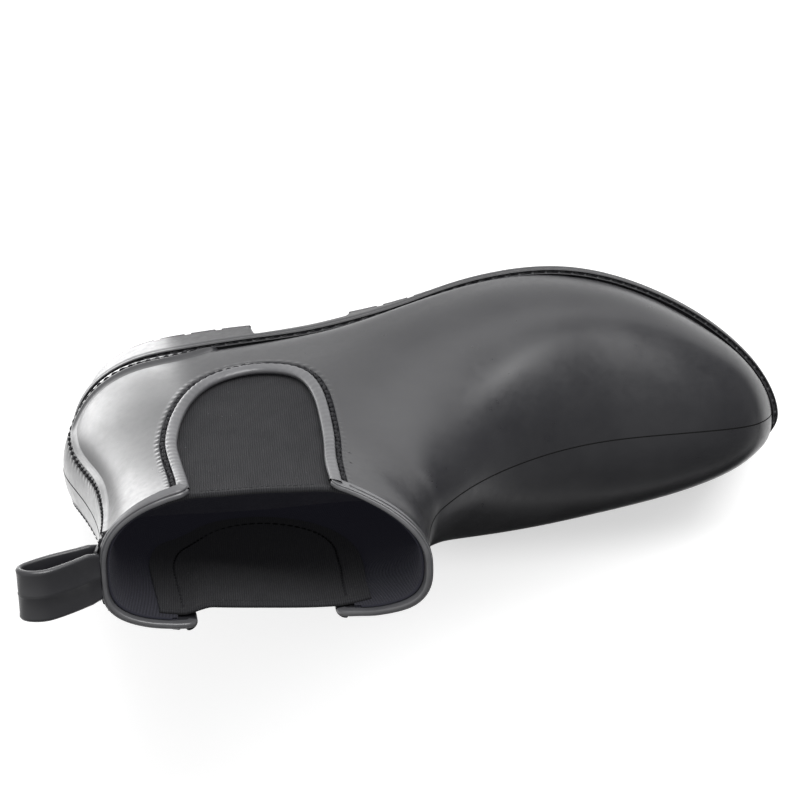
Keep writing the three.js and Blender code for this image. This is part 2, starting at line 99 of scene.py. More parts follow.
# Each section of the upper, from the tip of the toe to the rim: its top or front point
# (tx, tz), its bottom or back point (bx, bz), its half widths to the outer and the inner side,
# the height of its widest place as a share, its squareness below and above that place, its
# sideways offset and some extra squareness on the inner side.
STATIONS = [
    (275.8, 26.8, 274.8, 24.2, 3.5, 3, 0.5, 2, 2, -9, 0),
    (274.6, 32, 270.4, 20.5, 12.8, 10, 0.45, 2.6, 2, -8.2, 0),
    (269.3, 41.5, 261.5, 17.5, 23.8, 16.5, 0.33, 3.4, 2, -6.8, 0),
    (258, 50.5, 250, 15.5, 33, 24.3, 0.26, 4.6, 2.1, -5, 0),
    (235, 58.5, 228, 13.5, 44.4, 34.2, 0.2, 6, 2.1, -2.5, 0),
    (207, 64.5, 200, 12.5, 52.6, 41, 0.18, 6.5, 2.1, -1, 0),
    (183, 75, 168, 13.5, 53.8, 43.4, 0.19, 6, 2.1, 0, 0),
    (163, 88, 132, 18, 48.5, 40.5, 0.22, 4.8, 2.1, 0, 0),
    (149, 101, 100, 23, 42, 36, 0.26, 5.2, 2.1, 0, 0),
    (140, 112, 68, 27, 38.5, 34, 0.32, 7.5, 2.1, 0, 0),
    (134, 121, 34, 28.5, 36.5, 32.5, 0.37, 6.6, 2.2, 0, 0),
    (131, 129, 9, 31, 35, 32, 0.42, 3.6, 2.3, 0, 0),
    (129.5, 136, 1, 45, 34, 30.5, 0.45, 2.4, 2.3, 0, 0),
    (129, 142, 1, 60, 33, 28.5, 0.47, 2.2, 2.3, 0, 0.1),
    (128.5, 147, 7, 80, 32, 26.5, 0.48, 2.3, 2.3, 0, 0.2),
    (128, 151, 13, 103, 31.5, 25, 0.49, 2.4, 2.2, 0, 0.5),
    (128, 155, 15.5, 128, 31, 24, 0.5, 2.5, 2.1, 0, 0.8),
    (129, 162, 14, 154, 31.5, 23.5, 0.5, 2.6, 2.1, 0, 0.9),
]
LAST_ROW = len(STATIONS) - 1
TOP_ROW = LAST_ROW + 0.9  # the surface is carried on past the last section up to here
SIDES = (("left", 1), ("right", -1))

# Lines in side view, as (x, z).
RIM = [(-30, 152), (14, 152), (32, 151.5), (47, 150), (71, 147.5), (95, 148.5),
       (106, 152.5), (116, 156.5), (129, 160), (160, 161)]
SEAT = [(-3, 28.6), (34, 28.2), (68, 26.8), (100, 23), (132, 17.8), (168, 13.5), (200, 12.4),
        (228, 13.6), (250, 16), (262, 18.4), (271, 20.8), (281, 23.8)]
PANEL_OPENING = [(47, 180), (46.8, 150), (45.2, 130), (43.2, 112), (43, 102), (44.2, 92),
                 (46.5, 83), (50.5, 73), (57, 63.5), (66, 58.5), (75, 58), (84, 62), (90, 70),
                 (93, 81), (94.2, 92), (94.8, 104), (94.8, 116), (94.4, 130), (95.2, 150),
                 (95.8, 180)]
COUNTER_EDGE = [(17.8, 175), (17.8, 135), (17.4, 120), (15.3, 102), (10.1, 82.6), (5.9, 68),
                (4.4, 57), (5, 50), (8.5, 44), (16, 41.6), (29, 41), (42, 40), (52, 36.5),
                (59, 31), (63.5, 25), (66, 18)]
STRAP_LINE = [(14.8, 143.4), (10.5, 145.7), (6.4, 147.7), (-1.2, 151.1), (-6.6, 154.2),
              (-10.8, 157.4), (-11.7, 160.6), (-9.3, 163), (-5, 163.7), (0, 161.8), (7, 156.7),
              (10.8, 153.5), (14.6, 150.9)]

# The welt's edge in plan, as (x, y), heel to toe on the outer side and back on the inner side.
OUTLINE = [(1.5, 2), (4, 13), (12, 25), (27, 33.5), (45, 36.8), (68, 38.8), (92, 39.9),
           (112, 42.3), (132, 46.2), (155, 52), (182, 55), (206, 52.5), (228, 44.8), (248, 33.6),
           (264.5, 20), (275, 6), (279, -7), (276.3, -15.5), (269, -24.5), (256, -32),
           (236, -38.5), (212, -44), (185, -46), (155, -43.5), (125, -39.5), (95, -37),
           (68, -36), (45, -34.5), (25, -30.5), (10, -22), (2.5, -9)]

# ---- curves and surfaces


class Curve:
    """Rows of numbers joined by one smooth curve; its parameter is the row number."""

    def __init__(self, rows, closed=False):
        self.rows = np.asarray(rows, float)
        self.closed = closed
        n = len(self.rows)
        system = np.zeros((n, n))
        right = 6 * (np.roll(self.rows, -1, 0) - 2 * self.rows + np.roll(self.rows, 1, 0))
        for i in range(n):
            system[i, i] = 4
            system[i, (i - 1) % n] = 1
            system[i, (i + 1) % n] = 1
        if not closed:
            for i in (0, n - 1):
                system[i] = 0
                system[i, i] = 1
                right[i] = 0
        self.bend = np.linalg.solve(system, right)

    def at(self, t):
        """Points of the curve at parameters t."""
        t = np.asarray(t, float)
        n = len(self.rows)
        i = np.floor(t).astype(int)
        if not self.closed:
            i = np.clip(i, 0, n - 2)
        a, b = i % n, (i + 1) % n
        f = (t - i)[..., None]
        g = 1 - f
        bend = (g**3 - g) * self.bend[a] + (f**3 - f) * self.bend[b]
        return g * self.rows[a] + f * self.rows[b] + bend / 6

    def dense(self, per_row=40):
        """Points all along the curve, so many from each row to the next."""
        n = len(self.rows)
        last = n if self.closed else n - 1
        return self.at(np.linspace(0, last, last * per_row + 1))


def unit(vectors):
    """The same vectors with a length of 1."""
    return vectors / np.linalg.norm(vectors, axis=-1)[..., None]


def right_of(along):
    """Unit vectors in the plane that point to the right of others."""
    along = unit(along)
    return np.stack([along[:, 1], -along[:, 0]], 1)


def facing(normals, way):
    """The normals, all turned round if on the whole they face against a way."""
    return normals * np.sign((normals * way).sum())


def lengths(points):
    """Distance along a line of points, from its first point."""
    steps = np.linalg.norm(np.diff(points, axis=0), axis=1)
    return np.concatenate([[0], np.cumsum(steps)])


def between(at, along, rows):
    """Rows that are known at some lengths, read at others."""
    return np.stack([np.interp(at, along, column) for column in rows.T], 1)


def resample(points, step):
    """The same line with its points about a step apart, and even."""
    along = lengths(points)
    count = max(2, int(round(along[-1] / step)) + 1)
    return between(np.linspace(0, along[-1], count), along, points)


def height_line(rows):
    """Height as a function of x, along a smooth curve through (x, z) rows."""
    line = Curve(rows).dense()
    return lambda x: np.interp(x, *line.T)


seat = height_line(SEAT)
plain_rim = height_line(RIM)


def rim(x):
    """Height of the rim, turned down in a quarter circle at each opening's edge."""
    away = np.where(x < OPENING_MIDDLE, REAR_CORNER - x, x - FRONT_CORNER)
    into = np.clip(CORNER - away, 0, CORNER)
    return plain_rim(x) - (CORNER - np.sqrt(CORNER**2 - into**2))


def smooth(x, low, high):
    """0 up to low and 1 from high, with a soft step between."""
    t = np.clip((x - low) / (high - low), 0, 1)
    return t * t * (3 - 2 * t)


@functools.cache
def last(depth):
    """The sections moved in by a depth, as one curve of rows."""
    least_half, tip_height = 0.8, 1.2
    rows = np.array(STATIONS, float)
    moved = rows.copy()
    number = np.arange(len(rows))
    along = rows[np.minimum(number + 1, LAST_ROW)] - rows[np.maximum(number - 1, 0)]
    for px, turn in ((0, 1), (2, -1)):
        moved[:, px : px + 2] -= turn * depth * right_of(along[:, px : px + 2])
    moved[:, 4:6] = np.maximum(rows[:, 4:6] - depth, least_half)
    chord = unit(rows[0, 0:2] - rows[0, 2:4])
    if (moved[0, 0:2] - moved[0, 2:4]) @ chord < tip_height:
        middle = (moved[0, 0:2] + moved[0, 2:4]) / 2
        moved[0, 0:2] = middle + tip_height / 2 * chord
        moved[0, 2:4] = middle - tip_height / 2 * chord
    return Curve(moved)


def on_last(depth, u, theta):
    """Points of the last's surface. theta is 0 at the bottom or back, a half turn at the top or
    front, and positive on the outer side."""
    u, theta = np.broadcast_arrays(np.asarray(u, float), np.asarray(theta, float))
    tx, tz, bx, bz, wl, wr, s0, nl, nh, y0, dn = np.moveaxis(last(depth).at(u), -1, 0)
    c, s = np.cos(theta), np.sin(theta)
    n = np.where(c > 0, nl, nh) + np.where(s < 0, dn, 0)
    reach = (np.abs(c) ** n + np.abs(s) ** n) ** (-1 / n)
    along, across = reach * np.abs(c), reach * np.abs(s)
    share = np.where(c > 0, s0 * (1 - along), s0 + (1 - s0) * along)
    side = np.sign(s) * np.where(s >= 0, wl, wr) * across + y0
    return np.stack([bx + (tx - bx) * share, side, bz + (tz - bz) * share], -1)

def bisect(short, shape, low, high, steps):
    """Numbers from low to high, found by halving, up to which short says True."""
    low, high = np.full(shape, low), np.full(shape, high)
    for _ in range(steps):
        middle = (low + high) / 2
        more = short(middle)
        low, high = np.where(more, middle, low), np.where(more, high, middle)
    return low


def side_place(depth, x, z, side):
    """Row number and angle of the last's surface seen from the side at (x, z)."""
    x, z = np.broadcast_arrays(np.asarray(x, float), np.asarray(z, float))

    def under(row):
        tx, tz, bx, bz = np.moveaxis(last(depth).at(row)[..., :4], -1, 0)
        return (tx - bx) * (z - bz) - (tz - bz) * (x - bx) > 0

    low = bisect(under, x.shape, 4.0, TOP_ROW, 26)
    tx, tz, bx, bz, _, _, s0, nl, nh, _, dn = np.moveaxis(last(depth).at(low), -1, 0)
    share = ((x - bx) * (tx - bx) + (z - bz) * (tz - bz)) / ((tx - bx) ** 2 + (tz - bz) ** 2)
    along = np.where(share < s0, 1 - share / s0, (share - s0) / (1 - s0))
    n = np.where(share < s0, nl, nh) + (dn if side < 0 else 0)
    across = np.maximum(0, 1 - np.minimum(1, np.abs(along)) ** n) ** (1 / n)
    return low, side * np.arctan2(across, np.where(share < s0, along, -along))


def side_point(depth, x, z, side):
    """Points of the last's surface seen from the side at (x, z)."""
    point = on_last(depth, *side_place(depth, x, z, side))
    return np.stack(np.broadcast_arrays(x, point[..., 1], z), -1)


def side_normal(x, z, side, depth=0.0):
    """Outward unit normals of the last's surface seen from the side."""
    e = 0.4
    y = lambda dx, dz: side_point(depth, x + dx, z + dz, side)[..., 1]
    slope_x = (y(e, 0) - y(-e, 0)) / (2 * e)
    slope_z = (y(0, e) - y(0, -e)) / (2 * e)
    normal = np.stack([-slope_x, np.ones_like(slope_x), -slope_z], -1) * side
    return unit(normal)


def rim_row(depth, theta, drop):
    """Row number at which the surface meets the rim lowered by drop."""

    def under(row):
        x, _, z = np.moveaxis(on_last(depth, row, theta), -1, 0)
        return z < rim(x) - drop

    return bisect(under, theta.shape, LAST_ROW - 2.5, TOP_ROW, 24)


def widen(line, distance):
    """A line of (x, z) points moved to its right, which is out of the opening."""
    return line + distance * right_of(np.gradient(line, axis=0))


def nearest_on(line, points, batch=4000):
    """The place on a line in the plane that is nearest to each point."""
    a, ab = line[:-1], np.diff(line, axis=0)
    nearest = np.zeros_like(points)
    for start in range(0, len(points), batch):
        p = points[start : start + batch, None]
        t = ((p - a) * ab).sum(-1) / (ab**2).sum(-1)
        q = a + np.clip(t, 0, 1)[..., None] * ab
        k = np.linalg.norm(p - q, axis=-1).argmin(1)
        nearest[start : start + batch] = q[np.arange(len(p)), k]
    return nearest


def inside(polygon, points):
    """True for each point inside a closed polygon in the plane."""
    x, z = points[:, 0], points[:, 1]
    found = np.zeros(len(points), bool)
    for a, b in zip(polygon, np.roll(polygon, -1, 0)):
        if a[1] == b[1]:
            continue
        crosses = (a[1] > z) != (b[1] > z)
        found ^= crosses & (x < (b[0] - a[0]) * (z - a[1]) / (b[1] - a[1]) + a[0])
    return found


OPENING = Curve(PANEL_OPENING).dense(24)
COUNTER = Curve(COUNTER_EDGE).dense(16)
PLAN = Curve(OUTLINE, closed=True).dense(40)[:-1]

# ---- meshes

MM = 0.001
SHIFT = Vector(frame["joints"][0]["pos_m"]) - Vector(HINGE) * MM


def place(points):
    """Points of the design frame, as metres in the row frame."""
    return np.asarray(points, float) * MM + np.array(SHIFT)


def add_object(name, data):
    """A new object in the scene, of a mesh, a light or a camera."""
    made = bpy.data.objects.new(name, data)
    bpy.context.scene.collection.objects.link(made)
    return made


def grid_faces(rows, columns, wrap=False):
    """Quads of a grid of points numbered row by row; wrap joins its last column to its first."""
    r, c = np.indices((rows - 1, columns if wrap else columns - 1))
    d = (c + 1) % columns
    quads = [r * columns + c, r * columns + d, (r + 1) * columns + d, (r + 1) * columns + c]
    return np.stack(quads, -1).reshape(-1, 4)


def fan(middle, first, count):
    """Triangles from one point to a closed ring of points."""
    k = np.arange(count)
    return np.stack([np.full(count, middle), first + k, first + (k + 1) % count], 1)


def kept(faces, past):
    """The faces with a point that isn't past a border, and which of their points are past it."""
    faces = faces[(~past)[faces].any(1)]
    moving = np.zeros(len(past), bool)
    moving[np.unique(faces)] = True
    return faces, moving & past


class Builder:
    """Collects points and faces of one piece."""

    def __init__(self):
        self.points = []
        self.faces = []
        self.uvs = []
        self.finishes = []
        self.count = 0

    def add(self, points, *parts, uv=None, finish=0):
        """Parts are arrays of faces. finish is the number of the faces' material, or one number
        for each face."""
        points = np.asarray(points, float).reshape(-1, 3)
        self.points.append(points)
        self.uvs.append(np.zeros((len(points), 2)) if uv is None else uv)
        for faces in parts:
            self.faces.extend((faces + self.count).tolist())
            self.finishes.extend(np.broadcast_to(finish, len(faces)).tolist())
        self.count += len(points)

    def add_used(self, points, faces, uv=None):
        """Faces, and only the points that they use."""
        used, back = np.unique(faces, return_inverse=True)
        uv = None if uv is None else uv.reshape(-1, 2)[used]
        self.add(points.reshape(-1, 3)[used], back.reshape(faces.shape), uv=uv)

    def add_cut(self, grid, depth, hole, flip, uv=None):
        """A grid of the last's surface without the part inside a polygon in side view. Points
        inside it that a kept face uses are moved on to its edge."""
        flat = grid.reshape(-1, 3)
        near = (flat[:, 2] > 10) & (flat[:, 0] < 150)  # well round the openings
        past = np.zeros(len(flat), bool)
        past[near] = inside(hole, flat[near][:, [0, 2]])
        faces, moving = kept(grid_faces(*grid.shape[:2], True), past)
        new = flat[moving]
        nearest = nearest_on(np.concatenate([hole, hole[:1]]), new[:, [0, 2]])
        for side in (1, -1):
            pick = (new[:, 1] > 0) == (side > 0)
            new[pick] = side_point(depth, *nearest[pick].T, side)
        flat = flat.copy()
        flat[moving] = new
        self.add_used(flat, faces[:, ::-1] if flip else faces, uv)

    def grid(self, points, flip=False, finish=0):
        """A skin on a grid of points."""
        faces = grid_faces(*points.shape[:2])
        self.add(points, faces[:, ::-1] if flip else faces, finish=finish)

    def tube(self, rings, finish=0):
        """A tube through closed rings, with both ends closed by a fan, facing outwards."""
        rows, columns = rings.shape[:2]
        points = np.concatenate([rings.reshape(-1, 3), rings[:1].mean(1), rings[-1:].mean(1)])
        size = rows * columns
        faces = grid_faces(rows, columns, True)
        parts = (faces, fan(size, 0, columns)[:, [0, 2, 1]], fan(size + 1, size - columns, columns))
        a, b, c, d = (points[faces[:, k]] - points.mean(0) for k in range(4))
        volume = (np.cross(a, b) * c).sum() + (np.cross(a, c) * d).sum()
        if volume < 0:
            parts = [part[:, ::-1] for part in parts]
        self.add(points, *parts, finish=finish)

    def make(self, name, slot, node_name, *materials, body="boot"):
        """The piece, in place of a node of the CAD; body is None for a piece that blends two."""
        mesh = bpy.data.meshes.new(name)
        mesh.from_pydata(place(np.concatenate(self.points)).tolist(), [], self.faces)
        layer = mesh.uv_layers.new(name="cloth")
        corner = np.zeros(len(mesh.loops), np.int32)
        mesh.loops.foreach_get("vertex_index", corner)
        layer.data.foreach_set("uv", np.concatenate(self.uvs)[corner].astype(np.float32).ravel())
        mesh.polygons.foreach_set("material_index", np.array(self.finishes, np.int32))
        mesh.shade_smooth()
        for material in materials:
            mesh.materials.append(material)
        piece = add_object(name, mesh)
        if body:
            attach(piece, body)
        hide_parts(node_name)
        return piece


def frames(path, hint):
    """Two unit directions across a path and square to each other; the first leans to hint."""
    along = unit(np.gradient(path, axis=0))
    second = unit(np.cross(along, hint))
    return np.cross(second, along), second


def sweep(path, hint, profile):
    """Rings of a closed profile of (along hint, across) points carried along a path."""
    first, second = frames(path, hint)
    return path[:, None] + first[:, None] * profile[:, :1] + second[:, None] * profile[:, 1:]


STITCH_RADII = np.array([0.02, 0.45, 0.75, 0.95, 1, 1, 1, 0.95, 0.75, 0.45, 0.02])
STITCH_TURN = np.linspace(-1, 1, len(STITCH_RADII))


def stitches(builder, path, hint, pitch, length, radius, flat=0.8, wander=0.0):
    """A row of rounded stitches laid along a path, a pitch apart. A wander lays each a little
    aside, and makes it turned or longer than the last."""
    along = lengths(path)
    ring = np.linspace(0, 2 * np.pi, 8, endpoint=False)
    circle = np.stack([np.cos(ring) * flat, np.sin(ring)], 1) * radius
    for number, centre in enumerate(np.arange(pitch / 2, along[-1] - pitch / 2, pitch)):
        uneven = wander * np.sin(number * np.array([2.4, 1.7, 3.3]))
        half = length * (1 + uneven[0] / 2) / 2
        at = centre + np.linspace(-half, half, len(STITCH_RADII))
        line, lean = between(at, along, path), between(at, along, hint)
        rings = sweep(line, lean, circle) - line[:, None]
        aside = frames(line, lean)[1] * (uneven[1] + uneven[2] * STITCH_TURN)[:, None]
        builder.tube((line + aside)[:, None] + rings * STITCH_RADII[:, None, None])


# ---- materials


def feed(socket, value):
    """Puts a constant, or the output of another node, on a node's input."""
    if isinstance(value, Value):
        socket.id_data.links.new(value.socket, socket)
    else:
        socket.default_value = value


def node(tree, kind, inputs, out=0, **settings):
    """One output of a new node whose inputs are fed."""
    made = tree.nodes.new(kind)
    for key, value in settings.items():
        setattr(made, key, value)
    for key, value in inputs.items():
        feed(made.inputs[key], value)
    return Value(made.outputs[out])


def opaque(colour):
    """A constant colour with its alpha; a node's colour as it is."""
    return colour if isinstance(colour, Value) else (*colour, 1)


class Value:
    """An output of a node, and what further nodes make of it."""

    def __init__(self, socket):
        self.socket = socket
        self.tree = socket.id_data

    def math(self, operation, other=0.0):
        """This value put through a Math node."""
        return node(self.tree, "ShaderNodeMath", {0: self, 1: other}, operation=operation)

    def __add__(self, other):
        return self.math("ADD", other)

    def __mul__(self, other):
        return self.math("MULTIPLY", other)

    def wave(self, pitch):
        """A sine wave whose crests are a pitch apart."""
        return (self * (2 * math.pi / pitch)).math("SINE")

    def remap(self, low, high, to_low=0.0, to_high=1.0, kind="LINEAR"):
        """The range from low to high carried to another, with what lies beyond it clamped."""
        inputs = {"Value": self, "From Min": low, "From Max": high,
                  "To Min": to_low, "To Max": to_high}
        return node(self.tree, "ShaderNodeMapRange", inputs, "Result", interpolation_type=kind)

    def colour(self, low, high):
        """A colour between two, by this share."""
        inputs = {0: self, 6: opaque(low), 7: opaque(high)}
        return node(self.tree, "ShaderNodeMix", inputs, 2, data_type="RGBA")

    def bump(self, strength, distance_mm, **below):
        """A normal from this height; below may give the Normal that it lies on."""
        inputs = {"Height": self, "Strength": strength, "Distance": distance_mm * MM, **below}
        return node(self.tree, "ShaderNodeBump", inputs, "Normal")

    def noise(self, scale, detail=3.0, roughness=0.5):
        """Noise at this point."""
        inputs = {"Vector": self, "Scale": scale, "Detail": detail, "Roughness": roughness}
        return node(self.tree, "ShaderNodeTexNoise", inputs, "Fac")

    def plane(self):
        """This point's x and y."""
        split = node(self.tree, "ShaderNodeSeparateXYZ", {0: self}).socket.node
        return Value(split.outputs[0]), Value(split.outputs[1])

    def in_mm(self):
        """This point in millimetres, where it is in metres."""
        return node(self.tree, "ShaderNodeMapping", {"Vector": self, "Scale": [1 / MM] * 3})


def object_point(tree):
    """The point of the row frame in millimetres."""
    return node(tree, "ShaderNodeTexCoord", {}, "Object").in_mm()


def cloth_point(tree):
    """The cloth's own flat coordinates in millimetres."""
    return node(tree, "ShaderNodeUVMap", {}, "UV", uv_map="cloth").in_mm()


def new_material(name):
    """A material and its nodes."""
    material = bpy.data.materials.new(name)
    material.use_nodes = True
    return material, material.node_tree


def dress(tree, inputs):
    """Feeds the inputs of a material's shader."""
    for key, value in inputs.items():
        feed(tree.nodes["Principled BSDF"].inputs[key], value)


def rubber_material(name, dark, light, rough_low, rough_high, specular=0.5):
    """Moulded rubber: nearly even, with a faint mould texture, smears and slight mottling."""
    material, tree = new_material(name)
    point = object_point(tree)
    mottling = point.noise(0.045, 4, 0.6)
    smeared = mottling * 0.5 + point.noise(0.35, 5, 0.65) * 0.5
    waves = point.noise(0.06, 2, 0.4).bump(0.12, 0.5)
    dress(tree, {"Base Color": mottling.remap(0.3, 0.7).colour(dark, light),
                 "Roughness": smeared.remap(0.35, 0.65, rough_low, rough_high),
                 "Specular IOR Level": specular,
                 "Normal": point.noise(2.6, 2).bump(0.16, 0.05, Normal=waves)})
    return material


def elastic_material(rib_pitch=0.78, weft_pitch=0.42):
    """Elastic webbing: fine ribs along the shaft, crossed by finer weft, with light flecks."""
    material, tree = new_material("elastic_web")
    point = cloth_point(tree)
    x, y = point.plane()
    rib = (x + point.noise(0.5, 2) * 0.35).wave(rib_pitch)
    height = rib * 0.5 + y.wave(weft_pitch) * 0.28 + point.noise(2.4, 4, 0.7) * 0.9
    shade = height.remap(-0.4, 1.3) * point.noise(0.12, 3, 0.6).remap(0.3, 0.7, 0.75, 1.1)
    weave = shade.colour((0.002, 0.002, 0.0025), (0.026, 0.026, 0.028))
    fleck = point.noise(0.9, 1).remap(0.74, 0.78)
    dress(tree, {"Base Color": fleck.colour(weave, (0.06, 0.06, 0.065)), "Roughness": 0.85,
                 "Specular IOR Level": 0.08, "Sheen Weight": 0.03, "Sheen Roughness": 0.5,
                 # a faint bluish glow: painted light standing in for light scattered into the
                 # boot's dark inside
                 "Emission Color": (0.9, 0.9, 1, 1), "Emission Strength": 0.005,
                 "Normal": height.bump(0.7, 0.16)})
    return material


def knit_material(rib_pitch=1.15, loop_pitch=0.9):
    """The knitted sock: ribs along the shaft with small loops."""
    material, tree = new_material("knit_sock")
    point = cloth_point(tree)
    x, y = point.plane()
    rib = x.wave(rib_pitch)
    loop = (y + rib.math("ABSOLUTE") * 0.4).wave(loop_pitch)
    height = rib * 0.7 + loop * 0.3 + point.noise(2, 4, 0.7)
    shade = height.remap(-0.5, 1.6).colour((0.003, 0.003, 0.005), (0.019, 0.019, 0.026))
    dress(tree, {"Base Color": shade, "Roughness": 0.92, "Specular IOR Level": 0.08,
                 "Sheen Weight": 0.04, "Sheen Roughness": 0.6,
                 # a faint bluish glow: painted light standing in for light scattered into the
                 # boot's dark inside
                 "Emission Color": (0.7, 0.7, 1, 1), "Emission Strength": 0.008,
                 "Normal": height.bump(0.8, 0.2)})
    return material


def thread_material():
    """Waxed black thread with a slight twist."""
    material, tree = new_material("black_thread")
    point = object_point(tree)
    twist = {"Vector": point, "Scale": 0.9, "Distortion": 1}
    height = node(tree, "ShaderNodeTexWave", twist, "Fac") + point.noise(3)
    shade = height.remap(0.3, 1.6).colour((0.004, 0.004, 0.005), (0.022, 0.022, 0.024))
    dress(tree, {"Base Color": shade, "Roughness": 0.8, "Specular IOR Level": 0.15,
                 "Normal": height.bump(0.5, 0.08)})
    return material


def foam_material():
    """The insole's brushed knit top."""
    material, tree = new_material("insole_knit")
    point = object_point(tree)
    fuzz = point.noise(1.6, 5, 0.7)
    shade = fuzz * point.noise(0.05).remap(0.3, 0.7, 0.7, 1.2)
    dress(tree, {"Base Color": shade.colour((0.008, 0.008, 0.01), (0.05, 0.05, 0.056)),
                 "Roughness": 0.9,
                 # a faint bluish glow: painted light standing in for light scattered into the
                 # boot's dark inside
                 "Emission Color": (0.75, 0.75, 1, 1), "Emission Strength": 0.008,
                 "Normal": fuzz.bump(0.7, 0.25)})
    return material


RUBBER = rubber_material("satin_rubber", (0.010, 0.010, 0.012), (0.016, 0.016, 0.018), 0.27, 0.40)
# a lighter copy of the rubber for the collars' cut bands and the rims' beads: mostly a painted
# highlight for the light these edges catch
CUT_HIGHLIGHT_RUBBER = rubber_material("cut_rubber_painted_highlight", (0.04, 0.04, 0.043), (0.07, 0.07, 0.074), 0.3, 0.44, 0.6)
# near-black rubber for the thin parting lines: painted shade for the shaded sides of these ridges
SEAM_SHADE_RUBBER = rubber_material("seam_painted_shade", (0.003, 0.003, 0.003), (0.005, 0.005, 0.005), 0.7, 0.9, 0.1)
SOLE = rubber_material("sole_rubber", (0.014, 0.014, 0.016), (0.024, 0.024, 0.026), 0.42, 0.6)
ELASTIC = elastic_material()
KNIT = knit_material()
THREAD = thread_material()
FOAM = foam_material()

# ---- upper

COLUMNS = 256
GRID_ROWS = 240
THETA = np.linspace(0, 2 * np.pi, COLUMNS, endpoint=False)


def last_grid(depth, first, drop):
    """A grid of the last's surface from a row number up to the rim lowered by drop."""
    start = LAST_ROW - 2.6  # from here up, the rows spread out to the rim
    top = rim_row(depth, THETA, drop)
    upper = int(GRID_ROWS * (LAST_ROW - start) / (LAST_ROW - first))
    u = [np.full(COLUMNS, row) for row in np.linspace(first, start, GRID_ROWS - upper)]
    u += [start + (top - start) * share for share in np.linspace(0, 1, upper + 1)[1:]]
    return on_last(depth, np.array(u), THETA)


def ripple(t, pitch, seed):
    """A wave with a pitch whose strength drifts, so that no two waves are alike."""
    drift = 0.75 + 0.25 * np.sin(t / 7.3 + seed) + 0.12 * np.sin(t / 2.9 + 2 * seed)
    return drift * np.cos(2 * np.pi * t / pitch + 0.35 * np.sin(t / 5.1 + seed))


def opening_edge():
    """The opening's edge from the rear corner round to the front one, with even points."""
    return resample(OPENING[OPENING[:, 1] < plain_rim(OPENING[:, 0])], 0.45)


def collar_points(edge, out):
    """Side view places at distances out from the opening's edge, below the rounded rim."""
    spots = edge[:, None] + right_of(np.gradient(edge, axis=0))[:, None] * out[:, None]
    base, under_rim = 126.0, 0.9
    share = np.clip((edge[:, 1] - base) / (plain_rim(edge[:, 0]) - base), 0, 1)[:, None]
    top = rim(spots[..., 0]) - under_rim
    height = np.where(share > 0, base + share * (top - base), spots[..., 1])
    blend = smooth(edge[:, 1], base - 14, base + 2)[:, None]
    spots[..., 1] = spots[..., 1] * (1 - blend) + height * blend
    return spots


# Across the collar from its outer border to the opening's edge and round to the inner face:
# distance from the edge, height above the surface, and how much of the puckering it takes.
COLLAR_PROFILE = [
    (8.8, -0.06, 0), (8.3, 0, 0), (7.9, 0.01, 0.1), (7.4, 0.03, 0.35), (7.0, 0.05, 0.75),
    (6.6, 0.06, 1), (6.3, 0.0, 1), (6.1, -0.2, 0.9), (5.95, -0.5, 0.5), (5.7, -0.8, 0.1),
    (5.0, -0.86, 0), (4.4, -0.8, 0), (4.15, -0.5, -0.3), (4.02, -0.06, -0.7), (3.8, 0.32, -1),
    (3.5, 0.52, -1), (3.0, 0.6, -0.7), (2.4, 0.56, -0.4), (1.8, 0.42, -0.4), (1.2, 0.2, -0.5),
    (0.75, -0.06, -0.7), (0.4, -0.34, -0.4), (0.14, -0.72, 0), (0.02, -1.2, 0), (0.06, -1.7, 0),
    (0.25, -2.1, 0), (0.6, -2.38, 0), (1.2, -2.46, 0), (3, -2.46, 0), (6, -2.44, 0),
    (8.8, -2.42, 0)]


def add_collars(builder):
    """The worked rubber round both openings, puckered by its stitches."""
    out, rise, pucker = np.array(COLLAR_PROFILE).T
    edge = opening_edge()
    x, z = np.moveaxis(collar_points(edge, out), -1, 0)
    # faces round the opening's cut edge, which take the lighter rubber, mostly a painted highlight
    cut_highlight_face = (out[:-1] < 3.9) & (rise[:-1] > -2)
    outer_depth, inner_depth = 0.17, 0.11
    for _, side in SIDES:
        wave = ripple(lengths(edge), STITCH_PITCH, 1.0 + side)[:, None]
        height = rise + np.where(pucker > 0, outer_depth, inner_depth) * pucker * wave
        skin = side_point(0.0, x, z, side) + side_normal(x, z, side) * height[..., None]
        builder.grid(skin, side > 0, np.tile(cut_highlight_face.astype(int), len(edge) - 1))


# Round the rim's bead: distance out from the middle of the wall, height above the rim.
BEAD_PROFILE = [(1.15, -3.5), (1.26, -3.3), (1.44, -3.1), (1.47, -2.8), (1.3, -2.1), (1.1, -1.3),
                (0.86, -0.55), (0.7, -0.28), (0.5, -0.2), (0.36, -0.34), (0.24, -0.34),
                (0.1, -0.12), (-0.15, 0.0), (-0.7, 0), (-1.1, -0.14), (-1.34, -0.5), (-1.42, -1.2),
                (-1.42, -2.6), (-1.2, -3.3), (0, -3.5)]


def rim_path(rear):
    """The middle of the wall along one lobe's rim, corner arcs included, with its normals."""
    theta = (0 if rear else np.pi) + np.linspace(-np.pi / 2, np.pi / 2, 6001)
    middle, step, clear = WALL / 2, 1e-3, 0.02
    row = rim_row(middle, theta, 0.0)
    path = on_last(middle, row, theta)
    x = path[:, 0]
    keep = x < REAR_CORNER - clear if rear else x > FRONT_CORNER + clear
    ahead = on_last(middle, row, theta + step) - on_last(middle, row, theta - step)
    up = on_last(middle, row + step, theta) - on_last(middle, row - step, theta)
    path = path[keep]
    normal = facing(unit(np.cross(ahead, up))[keep], path - path.mean(0))
    both = resample(np.concatenate([path, normal], 1), 0.55)
    return both[:, :3], both[:, 3:]


